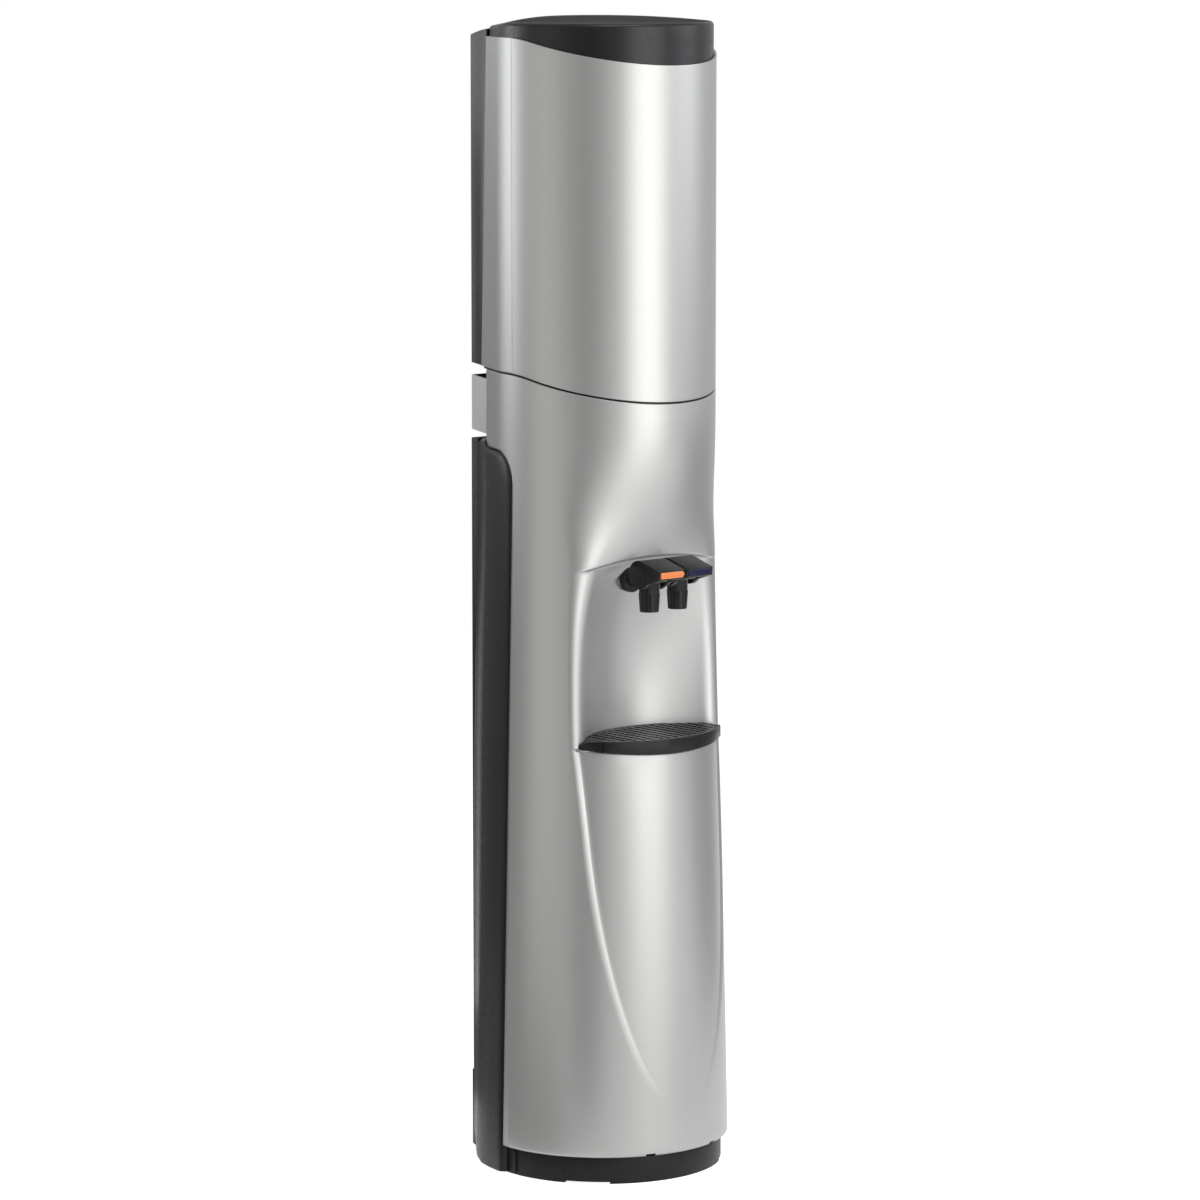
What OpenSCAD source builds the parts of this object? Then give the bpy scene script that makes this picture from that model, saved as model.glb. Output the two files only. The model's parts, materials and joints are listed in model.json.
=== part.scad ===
// Free-standing bottled-water cooler with two lever taps, a drip tray and a bottle cover.
// Millimetres, +Z up, front along -Y, origin on the floor under the axis of the cabinet.

/* [Cabinet] */
// Radius of the front shell just above its lower edge
foot_r = 160; // [156:1:166]
// Radius of the cabinet above its taper, and of the bottle cover
waist_r = 141.5; // [139:0.5:146]
// Height of the shell's lower edge above the floor
skirt_z = 35; // [30:1:42]
// Height at which the taper ends
waist_z = 855; // [845:1:862]
// Height of the level part of the cabinet's top edge
split_z = 1018; // [1012:1:1040]
// Slope of the cabinet's and the cover's edges in front of the axis, degrees
split_tilt = 13.2; // [10:0.2:15]
// Radius where the level and the sloped part of those edges meet
split_round = 200; // [100:10:260]
// Distance from the axis to the flat rear face
rear_y = 160; // [156:1:172]
// Half the width of the flat rear face
rear_half = 85; // [80:1:92]
// Wall of the moulded shells
wall = 3; // [2.5:0.25:3.5]
// Rounding of the front shell's lower edge
hem = 8; // [5:1:10]

/* [Side edge] */
// Rear edge of the front shell, behind the axis
edge_y = 12; // [4:1:20]
// Height at which that edge turns to the rear
edge_turn_z = 881; // [876:1:886]
// Radius of that turn
edge_turn_r = 40; // [30:1:46]
// Rear edge of the collar above the turn
collar_y = 98; // [92:1:106]
// Radius where the turn runs up into the collar's edge
collar_turn_r = 12; // [8:1:16]
// Height of the rear frame, to which the rear shell's upper edge falls
rear_top_z = 925; // [920:1:929]

/* [Bay] */
// Height of the ledge that carries the drip tray
bay_z = 546; // [533:1:560]
// Radius of that ledge's hollow, seen from the front
ledge_r = 870; // [700:10:1200]
// Height of the middle of the brow over the taps
brow_z = 788; // [784:1:792]
// Radius of the brow's arch
brow_r = 447; // [380:1:600]
// Radius of the scooped bay wall at the tray's top
scoop_r = 168; // [160:1:180]
// Flare of the scoop towards the brow, degrees
scoop_flare = 24.5; // [18:0.5:28]
// Distance from the axis to the middle of the bay wall, at the tray's top
scoop_y = 36; // [30:1:44]
// Lean of the bay wall towards the front, degrees
scoop_tilt = 10; // [8:0.5:11]
// Distance from the axis to the brow's edge
chin_y = 100; // [94:1:106]
// Slope of the chin, degrees from upright
chin_tilt = 19; // [17:0.5:21]
// Half angle of the blunt cone that the chin is part of, degrees
chin_cone = 77.5; // [76:0.5:79]
// Length of the chin from the brow's edge to the tip of that cone
chin_len = 161; // [150:1:175]
// Half width of the leaf-shaped apron at its top
leaf_half = 118.5; // [112:0.5:121]
// Height of the leaf, from its tip to its widest place
leaf_h = 464; // [430:1:480]
// Depth by which the apron lies inside the shell at the tray
apron_inset = 5; // [3:0.5:6]

/* [Tray] */
// Height of the tray and its fixed tips
tray_h = 19; // [17:1:24]
// Radius of the tray's front edge
tray_r = 149.5; // [146:0.5:152]
// Half the width of the tray that pulls out
tray_half = 98; // [90:1:102]
// Wall of the tray
tray_wall = 2.6; // [2:0.2:3.4]
// Number of slots in the grille
slot_count = 15; // [9:2:19]
// Width of a slot
slot_w = 5; // [3:0.5:6]
// Thickness of the grille
grille_t = 3; // [2:0.25:4]

/* [Taps] */
// Distance from the middle to each tap
tap_x = 23.5; // [21:0.5:30]
// Distance from the axis to the spouts
spout_y = 114; // [112:0.5:116]
// Height of the tap shanks
tap_z = 760; // [756:0.5:763]
// Radius of the shank through the bay wall
shank_r = 9; // [8:0.25:10]
// Radius of the tap's wall flange
flange_r = 16; // [14:0.5:17.5]
// Radius of the tap's upright barrel
barrel_r = 13; // [11:0.25:13.5]
// Length of the fluted nozzle
nozzle_h = 23; // [18:0.5:28]
// Radius of the nozzle at its mouth
nozzle_tip_r = 12; // [11:0.25:13]
// Width of a lever
lever_w = 42; // [36:0.5:43]
// Reach of a lever in front of the axis
lever_reach = 157; // [152:0.5:158]
// Radius of a lever's round cheek
cheek_r = 18; // [17:0.25:20]
// Radius of the lever's pivot pin
pin_r = 2; // [1.5:0.1:2.4]

/* [Cover] */
// Height of the level part of the cover's top edge
cover_z = 1437; // [1400:1:1450]
// Height of the lid's middle above the level part of the cover's edge
lid_rise = 26; // [22:1:38]
// Radius of the lid's dome
dome_r = 656; // [600:1:800]
// Step from the cover's face in to the lid's face
lid_inset = 3.5; // [3.4:0.1:5]
// Depth of the lid's skirt inside the cover
lid_skirt = 10; // [7:1:14]
// Foot of the silver cover's rear edge, behind the axis
cover_y = 118; // [112:1:122]
// Lean of that edge towards the front, degrees
cover_lean = 3.2; // [1:0.2:4]
// Height of the rear panel's lower edge above the cabinet's top edge
panel_rise = 3; // [3:1:16]
// Thickness of the deck between cabinet and cover
deck_t = 2.5; // [2:0.25:3.5]
// Radius of the hole in the deck for the bottle's seat
deck_hole = 100; // [92:1:108]
// Radius of the seat's throat
throat_r = 34; // [30:1:38]

/* [Rear] */
// Depth of the rear frame
frame_d = 14; // [12:1:18]
// Height of the rear frame's lower edge
rear_low_z = 4; // [3:1:8]
// Spacing of the condenser's passes
pass_step = 40; // [36:1:42]
// Number of the condenser's passes
pass_count = 15; // [9:2:15]
// Radius of the condenser tube
coil_r = 2.4; // [2:0.1:2.6]
// Number of wires on each side of the condenser
wire_count = 19; // [9:2:21]
// Radius of a condenser wire
wire_r = 0.8; // [0.6:0.1:0.9]

/* [Inside] */
// Distance of the cold tank behind the axis
tank_y = 20; // [16:1:24]
// Radius of the cold tank
tank_r = 66; // [62:1:68]
// Height of the cold tank
tank_h = 146; // [130:1:150]
// Thickness of the tank's foam jacket
foam_t = 15; // [10:1:16]
// Distance of the hot tank behind the axis
hot_y = 65; // [60:1:70]
// Radius of the hot tank
hot_r = 50; // [44:1:54]
// Height of the hot tank
hot_h = 139; // [110:1:150]
// Radius of the compressor
comp_r = 58; // [50:1:64]
// Height of the compressor
comp_h = 140; // [120:1:150]
// Radius of the water tubes
tube_r = 5; // [4:0.25:5.5]

/* [Fits] */
// Gap at the seams between mouldings
seam = 0.6; // [0.4:0.1:0.9]
// Gap between a moving piece and its seat
run = 0.3; // [0.3:0.05:0.5]
// Radial gap of a pin in its hole
pin_fit = 0.05; // [0.03:0.01:0.1]

/* [Hidden] */
$fn = 96;
// Reach of the cutting blocks
big = 400;

// Cabinet
base_r = foot_r - hem - 1;
lip_r = foot_r - hem - wall;
spigot_r = lip_r - seam;
spigot_h = 9;
base_top = skirt_z - seam;
pan_floor = 12;
frame_y = rear_y - frame_d;
// Direction of the cabinet's side plane, as the angle of its normal
side_angle = atan2(rear_y, rear_half) - acos(waist_r / norm([rear_half, rear_y]));
function shell_r(z) = z < waist_z
    ? foot_r + (waist_r - foot_r) * (z - skirt_z) / (waist_z - skirt_z) : waist_r;
function arc(c, r, from, to, n = 8) =
    [for (i = [0:n]) c + r * [cos(from + (to - from) * i / n), sin(from + (to - from) * i / n)]];

// Rear edge of the front shell in side view, moved back by a gap
function edge_path(gap) = concat(
    [[edge_y + gap, rear_low_z], [edge_y + gap, edge_turn_z]],
    arc([edge_y + edge_turn_r, edge_turn_z], edge_turn_r - gap, 180, 90),
    arc([collar_y - collar_turn_r, edge_turn_z + edge_turn_r + collar_turn_r],
        collar_turn_r + gap, -90, 0));

// Block across the whole width with an outline in side view
module side_block(points, half = big)
    rotate([90, 0, 90]) linear_extrude(2 * half, center = true) polygon(points);

// Everything below a height that bends down towards the front
module under(h) side_block(concat([[-big, -10], [big, -10], [big, h]],
    arc([split_round * tan(split_tilt / 2), h - split_round], split_round, 90, 90 + split_tilt, 6),
    [[-big, h - big * tan(split_tilt)]]));

module behind(y) translate([-big, y, -big]) cube([2 * big, big, 6 * big]);
module before(y) translate([-big, y - big, -big]) cube([2 * big, big, 6 * big]);

// Plan of the collar and the cover: a round front with straight sides to a flat rear
side_sink = 0.6;
function corner_x(i) = ((waist_r - i) - (rear_y - i) * sin(side_angle)) / cos(side_angle);
module plan(i) {
    side = (waist_r - i - side_sink) * [cos(side_angle), sin(side_angle)];
    circle(r = waist_r - i);
    polygon([[0, 0], side, [corner_x(i), rear_y - i], [-corner_x(i), rear_y - i], [-side.x, side.y]]);
}
module prism(i, from, to) translate([0, 0, from]) linear_extrude(to - from) plan(i);

// Base pan with arched openings in its foot
arch_h = 2.5;
arch_from = 38;
arch_to = 60;
foot_w = 11;
module base_pan() color("#2c2d2f") difference() {
    rotate_extrude() polygon([[0, pan_floor - 4], [base_r - foot_w, pan_floor - 4], [base_r - foot_w, 0],
        [base_r, 0], [base_r, base_top], [spigot_r, base_top], [spigot_r, base_top + spigot_h],
        [spigot_r - 4, base_top + spigot_h], [spigot_r - 4, pan_floor], [0, pan_floor]]);
    behind(frame_y - seam);
    for (start = [-90 - arch_to, -90 + arch_from])
        rotate([0, 0, start]) rotate_extrude(angle = arch_to - arch_from)
            translate([base_r - foot_w - 1, -1]) square([foot_w + 2, arch_h + 1]);
}

// Cabinet outline: a cone up to the waist, then the straight collar
module cabinet_outer() {
    round_r = shell_r(skirt_z + hem) - hem;
    rotate_extrude() polygon(concat([[0, skirt_z]], arc([round_r, skirt_z + hem], hem, -90, 0, 5),
        [[shell_r(waist_z), waist_z], [0, waist_z]]));
    prism(0, waist_z, split_z + 20);
}
module cabinet_inner() {
    lip_top = skirt_z + hem + 2;
    rotate_extrude() polygon([[0, 0], [lip_r, 0], [lip_r, lip_top],
        [shell_r(lip_top + 6) - wall, lip_top + 6], [waist_r - wall, waist_z], [0, waist_z]]);
    prism(wall, waist_z, split_z + 40);
}

// Bay wall: a leaning flared scoop that stops under the arched brow
tray_top = bay_z + tray_h;
scoop_down = 300;
module above_ledge(grow) translate([0, 0, bay_z + ledge_r]) rotate([90, 0, 0])
    cylinder(r = ledge_r + grow, h = 2 * big, center = true, $fn = 360);
module scoop(grow) intersection() {
    translate([0, -scoop_y, tray_top]) rotate([scoop_tilt + scoop_flare, 0, 0])
        translate([0, -scoop_r, -scoop_down]) cylinder(r1 = scoop_r + grow - scoop_down * tan(scoop_flare),
            r2 = scoop_r + grow + big * tan(scoop_flare), h = scoop_down + big);
    translate([-big, -big, bay_z - grow]) cube([2 * big, 2 * big, brow_z - bay_z + 2 * grow]);
    above_ledge(grow);
    translate([0, 0, brow_z - brow_r]) rotate([90, 0, 0]) cylinder(r = brow_r + grow, h = 2 * big, center = true);
}
// Chin: the sloped face above the brow, part of a blunt cone that fades into the round front
brow_drop = brow_r - sqrt(pow(brow_r, 2) - pow(leaf_half, 2));
chin_rise = chin_len * cos(chin_tilt);
module chin_cut(grow) difference() {
    translate([-big / 2, -big, brow_z - brow_drop - grow]) cube([big, big, chin_rise + brow_drop + grow]);
    translate([0, -chin_y - chin_len * sin(chin_tilt), brow_z + chin_rise])
        rotate([chin_cone + chin_tilt - 180, 0, 0]) translate([0, 0, grow / sin(chin_cone)])
            cylinder(r1 = 0, r2 = big * tan(chin_cone), h = big);
}
// Leaf: a half ellipse seen from the front, cut down to the apron's cone
leaf_top = bay_z + tray_h / 2;
apron_foot_z = skirt_z + 5;
function apron_r(z) = shell_r(z) - apron_inset * (z - apron_foot_z) / (bay_z - apron_foot_z);
module leaf_cut(grow) difference() {
    rotate([90, 0, 0]) linear_extrude(big)
        polygon([for (a = [180:7.5:360]) [(leaf_half + grow) * cos(a), leaf_top + (leaf_h + grow) * sin(a)]]);
    rotate_extrude() polygon([[0, 0], [apron_r(skirt_z) - grow, 0], [apron_r(skirt_z) - grow, skirt_z],
        [apron_r(leaf_top + 30) - grow, leaf_top + 30], [0, leaf_top + 30]]);
}
module bay_cuts(grow) {
    scoop(grow);
    chin_cut(grow);
    leaf_cut(grow);
}

// Flat bosses that carry the taps on the leaning wall
boss_r = flange_r - 1;
function bay_wall_y(z) = -scoop_y - (z - tray_top) * tan(scoop_tilt);
boss_face_y = bay_wall_y(tap_z + boss_r) - 2.6;
boss_back_y = bay_wall_y(tap_z - boss_r) + wall + 7;
gasket_t = 1.5;
module along_y(x, from, to, r) translate([x, from, tap_z]) rotate([-90, 0, 0]) cylinder(r = r, h = to - from);
notch_angle = 19;
module front_shell() color("#b9bab6") difference() {
    union() {
        difference() {
            intersection() {
                cabinet_outer();
                side_block(concat([[-big, 0]], edge_path(0),
                    [[collar_y, split_z + 10], [-big, split_z + 10]]));
                under(split_z);
            }
            bay_cuts(0);
            difference() {
                cabinet_inner();
                bay_cuts(wall);
            }
        }
        for (x = [-tap_x, tap_x]) along_y(x, boss_face_y, boss_back_y, boss_r);
    }
    for (x = [-tap_x, tap_x]) along_y(x, boss_face_y - 10, boss_back_y + 10, shank_r + pin_fit);
    for (a = [-notch_angle, notch_angle])
        rotate([0, 0, a]) translate([-5, -foot_r, skirt_z - 1]) cube([10, 14, 3.5]);
}

// Rear shell: the same taper, blended to the rear frame's corners
rear_flare = 0.7;
rear_over = 5;
rear_peak_z = edge_turn_z + edge_turn_r + collar_turn_r + 1;
module rear_mass(i, over) hull() {
    translate([0, 0, rear_low_z - over]) cylinder(r1 = shell_r(rear_low_z) - i, r2 = shell_r(rear_peak_z) - i,
        h = rear_peak_z - rear_low_z + 2 * over, $fn = 72);
    half = rear_half - i * 1.25 - over * rear_flare;
    translate([-half, 0, rear_low_z - over])
        cube([2 * half, frame_y - seam + over, rear_peak_z - rear_low_z + 2 * over]);
}
module rear_shell(side) intersection() {
    difference() {
        rear_mass(0, 0);
        rear_mass(wall, rear_over);
    }
    side_block(concat(edge_path(seam), [[collar_y + seam, rear_peak_z], [frame_y - seam, rear_top_z],
        [frame_y - seam, rear_low_z]]));
    translate([side < 0 ? -big : 0, 0, 0]) cube([big, big, 3 * big]);
}
module rear_shell_left() color("#303134") rear_shell(-1);
module rear_shell_right() color("#303134") rear_shell(1);

// Rear frame: a shallow tray, open to the rear, on a wider heel, with air slots behind the condenser
frame_wall = 3;
heel_low = 1;
heel_z = 100;
heel_w = 2;
heel_splay = 8;
plate_y = frame_y + frame_wall;
coil_low_z = 290;
drain_x = -30;
drain_z = 190;
gland_z = 90;
gland_r = 10;
pipe_r = 3;
line_x = 70;
coil_top_z = coil_low_z + pass_step * (pass_count - 1);
module plate_hole(x, z, r) translate([x, frame_y - 1, z]) rotate([-90, 0, 0]) cylinder(r = r, h = frame_wall + 2);
module rear_frame() color("#2a2b2e") difference() {
    union() {
        translate([-rear_half, frame_y, rear_low_z]) cube([2 * rear_half, frame_d, rear_top_z - rear_low_z]);
        translate([0, 0, heel_low]) linear_extrude(heel_z - heel_low)
            polygon([for (p = [[-1, 0], [1, 0], [1, 1], [-1, 1]])
                [p.x * (rear_half + (p.y > 0 ? heel_w : heel_splay)), frame_y + p.y * frame_d]]);
    }
    translate([-rear_half + frame_wall, plate_y, rear_low_z + frame_wall])
        cube([2 * (rear_half - frame_wall), frame_d, rear_top_z - rear_low_z - 2 * frame_wall]);
    for (i = [0:pass_count - 2])
        translate([-50, frame_y - 1, coil_low_z + pass_step * (i + 0.5) - 4]) cube([100, frame_wall + 2, 8]);
    plate_hole(drain_x, drain_z, tube_r + seam);
    plate_hole(0, gland_z, gland_r / 2);
    plate_hole(line_x, coil_low_z, pipe_r + seam);
    plate_hole(-line_x, coil_top_z, pipe_r + seam);
}

// Light block that closes the collar at the rear
collar_gap = 12;
collar_low = rear_peak_z + 1.5;
module collar_rear() color("#cfcfcd") intersection() {
    difference() {
        prism(0, collar_low, split_z);
        prism(wall, collar_low - 1, split_z + 1);
    }
    behind(collar_y + seam);
    under(split_z - collar_gap);
}

// Deck: a thin lip between cabinet and cover, and a level floor with an upstand inside the cover
deck_top = split_z + deck_t;
deck_in = wall + seam;
deck_rear = deck_hole + 12;
upstand_h = 10;
module top_deck() color("#26272a") difference() {
    union() {
        difference() {
            intersection() {
                prism(wall / 2, split_z - 50, deck_top);
                under(deck_top);
            }
            under(split_z);
            prism(deck_in + 1, split_z - 60, deck_top + 5);
        }
        difference() {
            prism(deck_in, split_z - 50, split_z + upstand_h);
            under(split_z);
            prism(deck_in + deck_t, split_z - 60, split_z + upstand_h + 5);
        }
        prism(deck_in + 1, split_z, deck_top);
    }
    translate([0, 0, split_z - 1]) cylinder(r = deck_hole, h = deck_t + 2);
    behind(deck_rear);
}

// Seat for the bottle's neck, with the spike that opens its cap
seat_wall = 2.5;
funnel_h = 48;
throat_h = 34;
module bottle_receiver() color("#e9eaea") rotate_extrude() polygon([
    [deck_hole + 7, deck_top], [deck_hole + 7, deck_top + seat_wall], [deck_hole - 4, deck_top + seat_wall],
    [throat_r, deck_top - funnel_h], [throat_r, deck_top - funnel_h - throat_h],
    [throat_r + seat_wall, deck_top - funnel_h - throat_h], [throat_r + seat_wall, deck_top - funnel_h - 2],
    [deck_hole - 1, deck_top]]);
probe_r = 10;
probe_top = deck_top - 20;
probe_low = deck_top - funnel_h - throat_h;
module receiver_probe() color("#d8dcdc") difference() {
    rotate_extrude() polygon(concat([[0, probe_low], [throat_r - run, probe_low], [throat_r - run, probe_low + 3],
        [probe_r, probe_low + 3]], arc([probe_r - 6, probe_top - 6], 6, 0, 90, 4), [[0, probe_top]]));
    translate([0, 0, probe_low - 1]) cylinder(r = probe_r - 3, h = probe_top - probe_low - 6);
    for (a = [0, 90]) rotate([0, 0, a])
        translate([-2 * probe_r, -2, probe_top - 24]) cube([4 * probe_r, 4, 14]);
}

// Cold side: shelf, foam, tank, evaporator and baffle
shelf_drop = 4;
shelf_z = brow_z - shelf_drop;
shelf_t = 3;
shelf_top = shelf_z + shelf_t;
shelf_front = 58;
shelf_rear = 98;
foam_floor = 12;
jacket_t = 7.6;
tank_low = shelf_top + foam_floor + run;
cold_tap_y = boss_back_y + 38;
feed_y = 50;
module tube_holes(r) {
    translate([tap_x, cold_tap_y, shelf_z - 5]) cylinder(r = r, h = 40);
    translate([0, feed_y, shelf_z - 5]) cylinder(r = r, h = 40);
}
module tank_shelf() color("#b6bbbe") difference() {
    intersection() {
        translate([0, 0, shelf_z]) cylinder(r = shell_r(shelf_z) - wall - 0.5, h = shelf_t);
        translate([-big, -shelf_front, 0]) cube([2 * big, shelf_front + shelf_rear, 2 * big]);
    }
    tube_holes(tube_r + seam);
}
foam_r = tank_r + jacket_t + foam_t + 1;
module tank_insulation() color("#f2f2ee") difference() {
    translate([0, tank_y, 0]) rotate_extrude() polygon([[0, shelf_top], [foam_r, shelf_top],
        [foam_r, tank_low + tank_h + 6], [foam_r - foam_t, tank_low + tank_h + 6],
        [foam_r - foam_t, shelf_top + foam_floor], [0, shelf_top + foam_floor]]);
    tube_holes(tube_r + seam);
}
tank_wall = 1.2;
jacket_z = tank_low + 25;
jacket_h = 100;
jacket_fit = 0.4;
baffle_z = tank_low + tank_h / 2;
baffle_t = 2;
stub_h = 40;
module cold_tank() color("#c3c7c9") difference() {
    translate([0, tank_y, tank_low]) cylinder(r = tank_r, h = tank_h);
    translate([0, tank_y, tank_low + tank_wall]) cylinder(r = tank_r - tank_wall, h = tank_h);
    tube_holes(tube_r - 1);
}
module evaporator_jacket() color("#b87333") translate([0, tank_y, jacket_z]) difference() {
    cylinder(r = tank_r + jacket_t, h = jacket_h);
    translate([0, 0, -1]) cylinder(r = tank_r + jacket_fit, h = jacket_h + 2);
}
module baffle() color("#e4e6e6") translate([0, tank_y, baffle_z]) difference() {
    union() {
        cylinder(r = tank_r - tank_wall - jacket_fit, h = baffle_t);
        translate([0, feed_y - tank_y, -stub_h]) cylinder(r = tube_r + 2, h = stub_h + baffle_t / 2);
    }
    translate([0, feed_y - tank_y, -stub_h - 1]) cylinder(r = tube_r, h = stub_h + baffle_t + 2);
}

// Hot side: a round tank hung under the shelf
hot_low = shelf_z - run - hot_h;
hot_wall = 1.5;
hot_round = 8;
module hot_tank() color("#c8cbcc") difference() {
    translate([0, hot_y, hot_low]) rotate_extrude() polygon(concat([[0, 0]],
        arc([hot_r - hot_round, hot_round], hot_round, -90, 0, 4),
        arc([hot_r - hot_round, hot_h - hot_round], hot_round, 0, 90, 4), [[0, hot_h]]));
    translate([0, hot_y, hot_low + hot_wall]) cylinder(r = hot_r - hot_round, h = hot_h - 2 * hot_wall);
    translate([0, feed_y, hot_low + hot_h - 10]) cylinder(r = tube_r - 1, h = 20);
    translate([drain_x, hot_y + 20, hot_low - 1]) cylinder(r = tube_r - 1, h = 12);
    along_y(-tap_x, -30, hot_y, tube_r - 1);
}
band_h = 30;
band_t = 3.5;
band_up = 18;
band_gap = 8;
module heater_band() color("#8d8f92") translate([0, hot_y, hot_low + band_up]) difference() {
    cylinder(r = hot_r + run + band_t, h = band_h);
    translate([0, 0, -1]) cylinder(r = hot_r + run, h = band_h + 2);
    translate([hot_r - band_t, -band_gap / 2, -1]) cube([3 * band_t, band_gap, band_h + 2]);
}
stat_r = 9;
stat_h = 4;
stat_cap_r = 6;
stat_cap_h = 6;
module thermostat() color("#3b3c3e")
    translate([0, hot_y + hot_r + run, hot_low + hot_h - 5 * stat_r]) rotate([-90, 0, 0]) {
        cylinder(r = stat_r, h = stat_h);
        translate([0, 0, stat_h - 1]) cylinder(r = stat_cap_r, h = stat_cap_h + 1);
    }

// Water tubes: straight runs with round elbows
module pipe(points, r) for (i = [0:len(points) - 2]) {
    step = points[i + 1] - points[i];
    translate(points[i]) rotate([0, acos(step.z / norm(step)), atan2(step.y, step.x)])
        cylinder(r = r, h = norm(step), $fn = 32);
    if (i > 0) translate(points[i]) sphere(r = r * 1.2, $fn = 32);
}
shank_end = boss_back_y + 16;
module cold_outlet_tube() color("#e8ebec")
    pipe([[tap_x, shank_end + run, tap_z], [tap_x, cold_tap_y, tap_z], [tap_x, cold_tap_y, tank_low - run]], tube_r);
module hot_outlet_tube() color("#e8ebec")
    pipe([[-tap_x, shank_end + run, tap_z],
        [-tap_x, hot_y - sqrt(pow(hot_r, 2) - pow(tap_x - tube_r, 2)) - run, tap_z]], tube_r);
module hot_feed_tube() color("#e8ebec")
    pipe([[0, feed_y, shelf_z - run + 0.1], [0, feed_y, tank_low - run]], tube_r);
module drain_tube() color("#e8ebec")
    pipe([[drain_x, hot_y + 20, hot_low - run], [drain_x, hot_y + 20, drain_z],
        [drain_x, plate_y, drain_z]], tube_r);
module drain_plug() color("#1f2022") translate([drain_x, plate_y, drain_z]) rotate([-90, 0, 0]) {
    cylinder(r = tube_r + 4, h = 4);
    translate([0, 0, 3]) cylinder(r = tube_r + 1.5, h = frame_d - frame_wall - 4);
}

// Cooling circuit: the compressor's welded shell on a foot plate with four rubber feet
grommet_r = 10;
grommet_h = 14;
grommet_waist = 3;
bolt_r = 3;
foot_t = 3;
comp_y = 20;
comp_round = 16;
comp_dome = 30;
weld_w = 3;
weld_h = 4;
plate_low = pan_floor + grommet_h;
comp_low = plate_low + foot_t;
bolt_x = comp_r + 4;
bolt_y = comp_r - 20;
module bolt_places() for (x = [-bolt_x, bolt_x]) for (y = [comp_y - bolt_y, comp_y + bolt_y])
    translate([x, y, 0]) children();
module compressor() color("#252628") {
    difference() {
        translate([-bolt_x - grommet_r, comp_y - bolt_y - grommet_r, plate_low])
            cube([2 * (bolt_x + grommet_r), 2 * (bolt_y + grommet_r), foot_t]);
        bolt_places() translate([0, 0, plate_low - 1]) cylinder(r = bolt_r, h = foot_t + 2);
    }
    translate([0, comp_y, comp_low - 0.1]) rotate_extrude() polygon(concat([[0, 0]],
        arc([comp_r - comp_round, comp_round], comp_round, -90, 0, 4),
        [[comp_r, comp_h / 2 - weld_h], [comp_r + weld_w, comp_h / 2 - weld_h],
        [comp_r + weld_w, comp_h / 2], [comp_r, comp_h / 2]],
        arc([comp_r - comp_dome, comp_h - comp_dome], comp_dome, 0, 90, 5), [[0, comp_h]]));
}
module compressor_grommets() color("#1b1b1c") bolt_places() translate([0, 0, pan_floor]) rotate_extrude()
    polygon([[0, 0], [grommet_r, 0], [grommet_r, grommet_h / 2 - 2], [grommet_r - grommet_waist, grommet_h / 2],
        [grommet_r, grommet_h / 2 + 2], [grommet_r, grommet_h], [0, grommet_h]]);
// Point on a round piece at a plan angle, a gap outside its face
function on_round(y, r, a, z) = [r * cos(a), y + r * sin(a), z];
riser_x = 52;
riser_y = 125;
riser_angle = atan2(riser_y - tank_y, riser_x);
joint_gap = 0.5;
discharge_y = riser_y - 20;
discharge_z = comp_low + comp_h / 2 + 11;
discharge_angle = 45;
suction_z = comp_low + comp_h / 2 - 29;
suction_top = tank_low + 60;
module discharge_line() color("#b06a3b")
    pipe([on_round(comp_y, comp_r + joint_gap, discharge_angle, discharge_z), [line_x, discharge_y, discharge_z],
        [line_x, discharge_y, coil_low_z], [line_x, coil_y, coil_low_z],
        [coil_half + run, coil_y, coil_low_z]], pipe_r);
module suction_line() color("#b06a3b")
    pipe([on_round(tank_y, foam_r + run, riser_angle, suction_top), [riser_x, riser_y, suction_top],
        [riser_x, riser_y, suction_z], on_round(comp_y, comp_r + joint_gap, riser_angle, suction_z)], pipe_r);
drier_r = 10;
drier_h = 90;
drier_top = 700;
drier_cone = 10;
capillary_r = 1.6;
capillary_z = drier_top - drier_h - 12;
capillary_top = tank_low + 80;
module liquid_line() color("#b06a3b")
    pipe([[-coil_half - run, coil_y, coil_top_z], [-line_x, coil_y, coil_top_z],
        [-line_x, riser_y, coil_top_z], [-line_x, riser_y, drier_top + run]], pipe_r);
module filter_drier() color("#c07a48") translate([-line_x, riser_y, drier_top - drier_h]) rotate_extrude()
    polygon([[0, 0], [pipe_r, 0], [drier_r, drier_cone], [drier_r, drier_h - drier_cone], [pipe_r, drier_h],
        [0, drier_h]]);
module capillary_tube() color("#b06a3b")
    pipe([[-line_x, riser_y, drier_top - drier_h - run], [-line_x, riser_y, capillary_z],
        [-riser_x, riser_y, capillary_z], [-riser_x, riser_y, capillary_top],
        on_round(tank_y, foam_r + run, 180 - riser_angle, capillary_top)], capillary_r);

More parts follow.
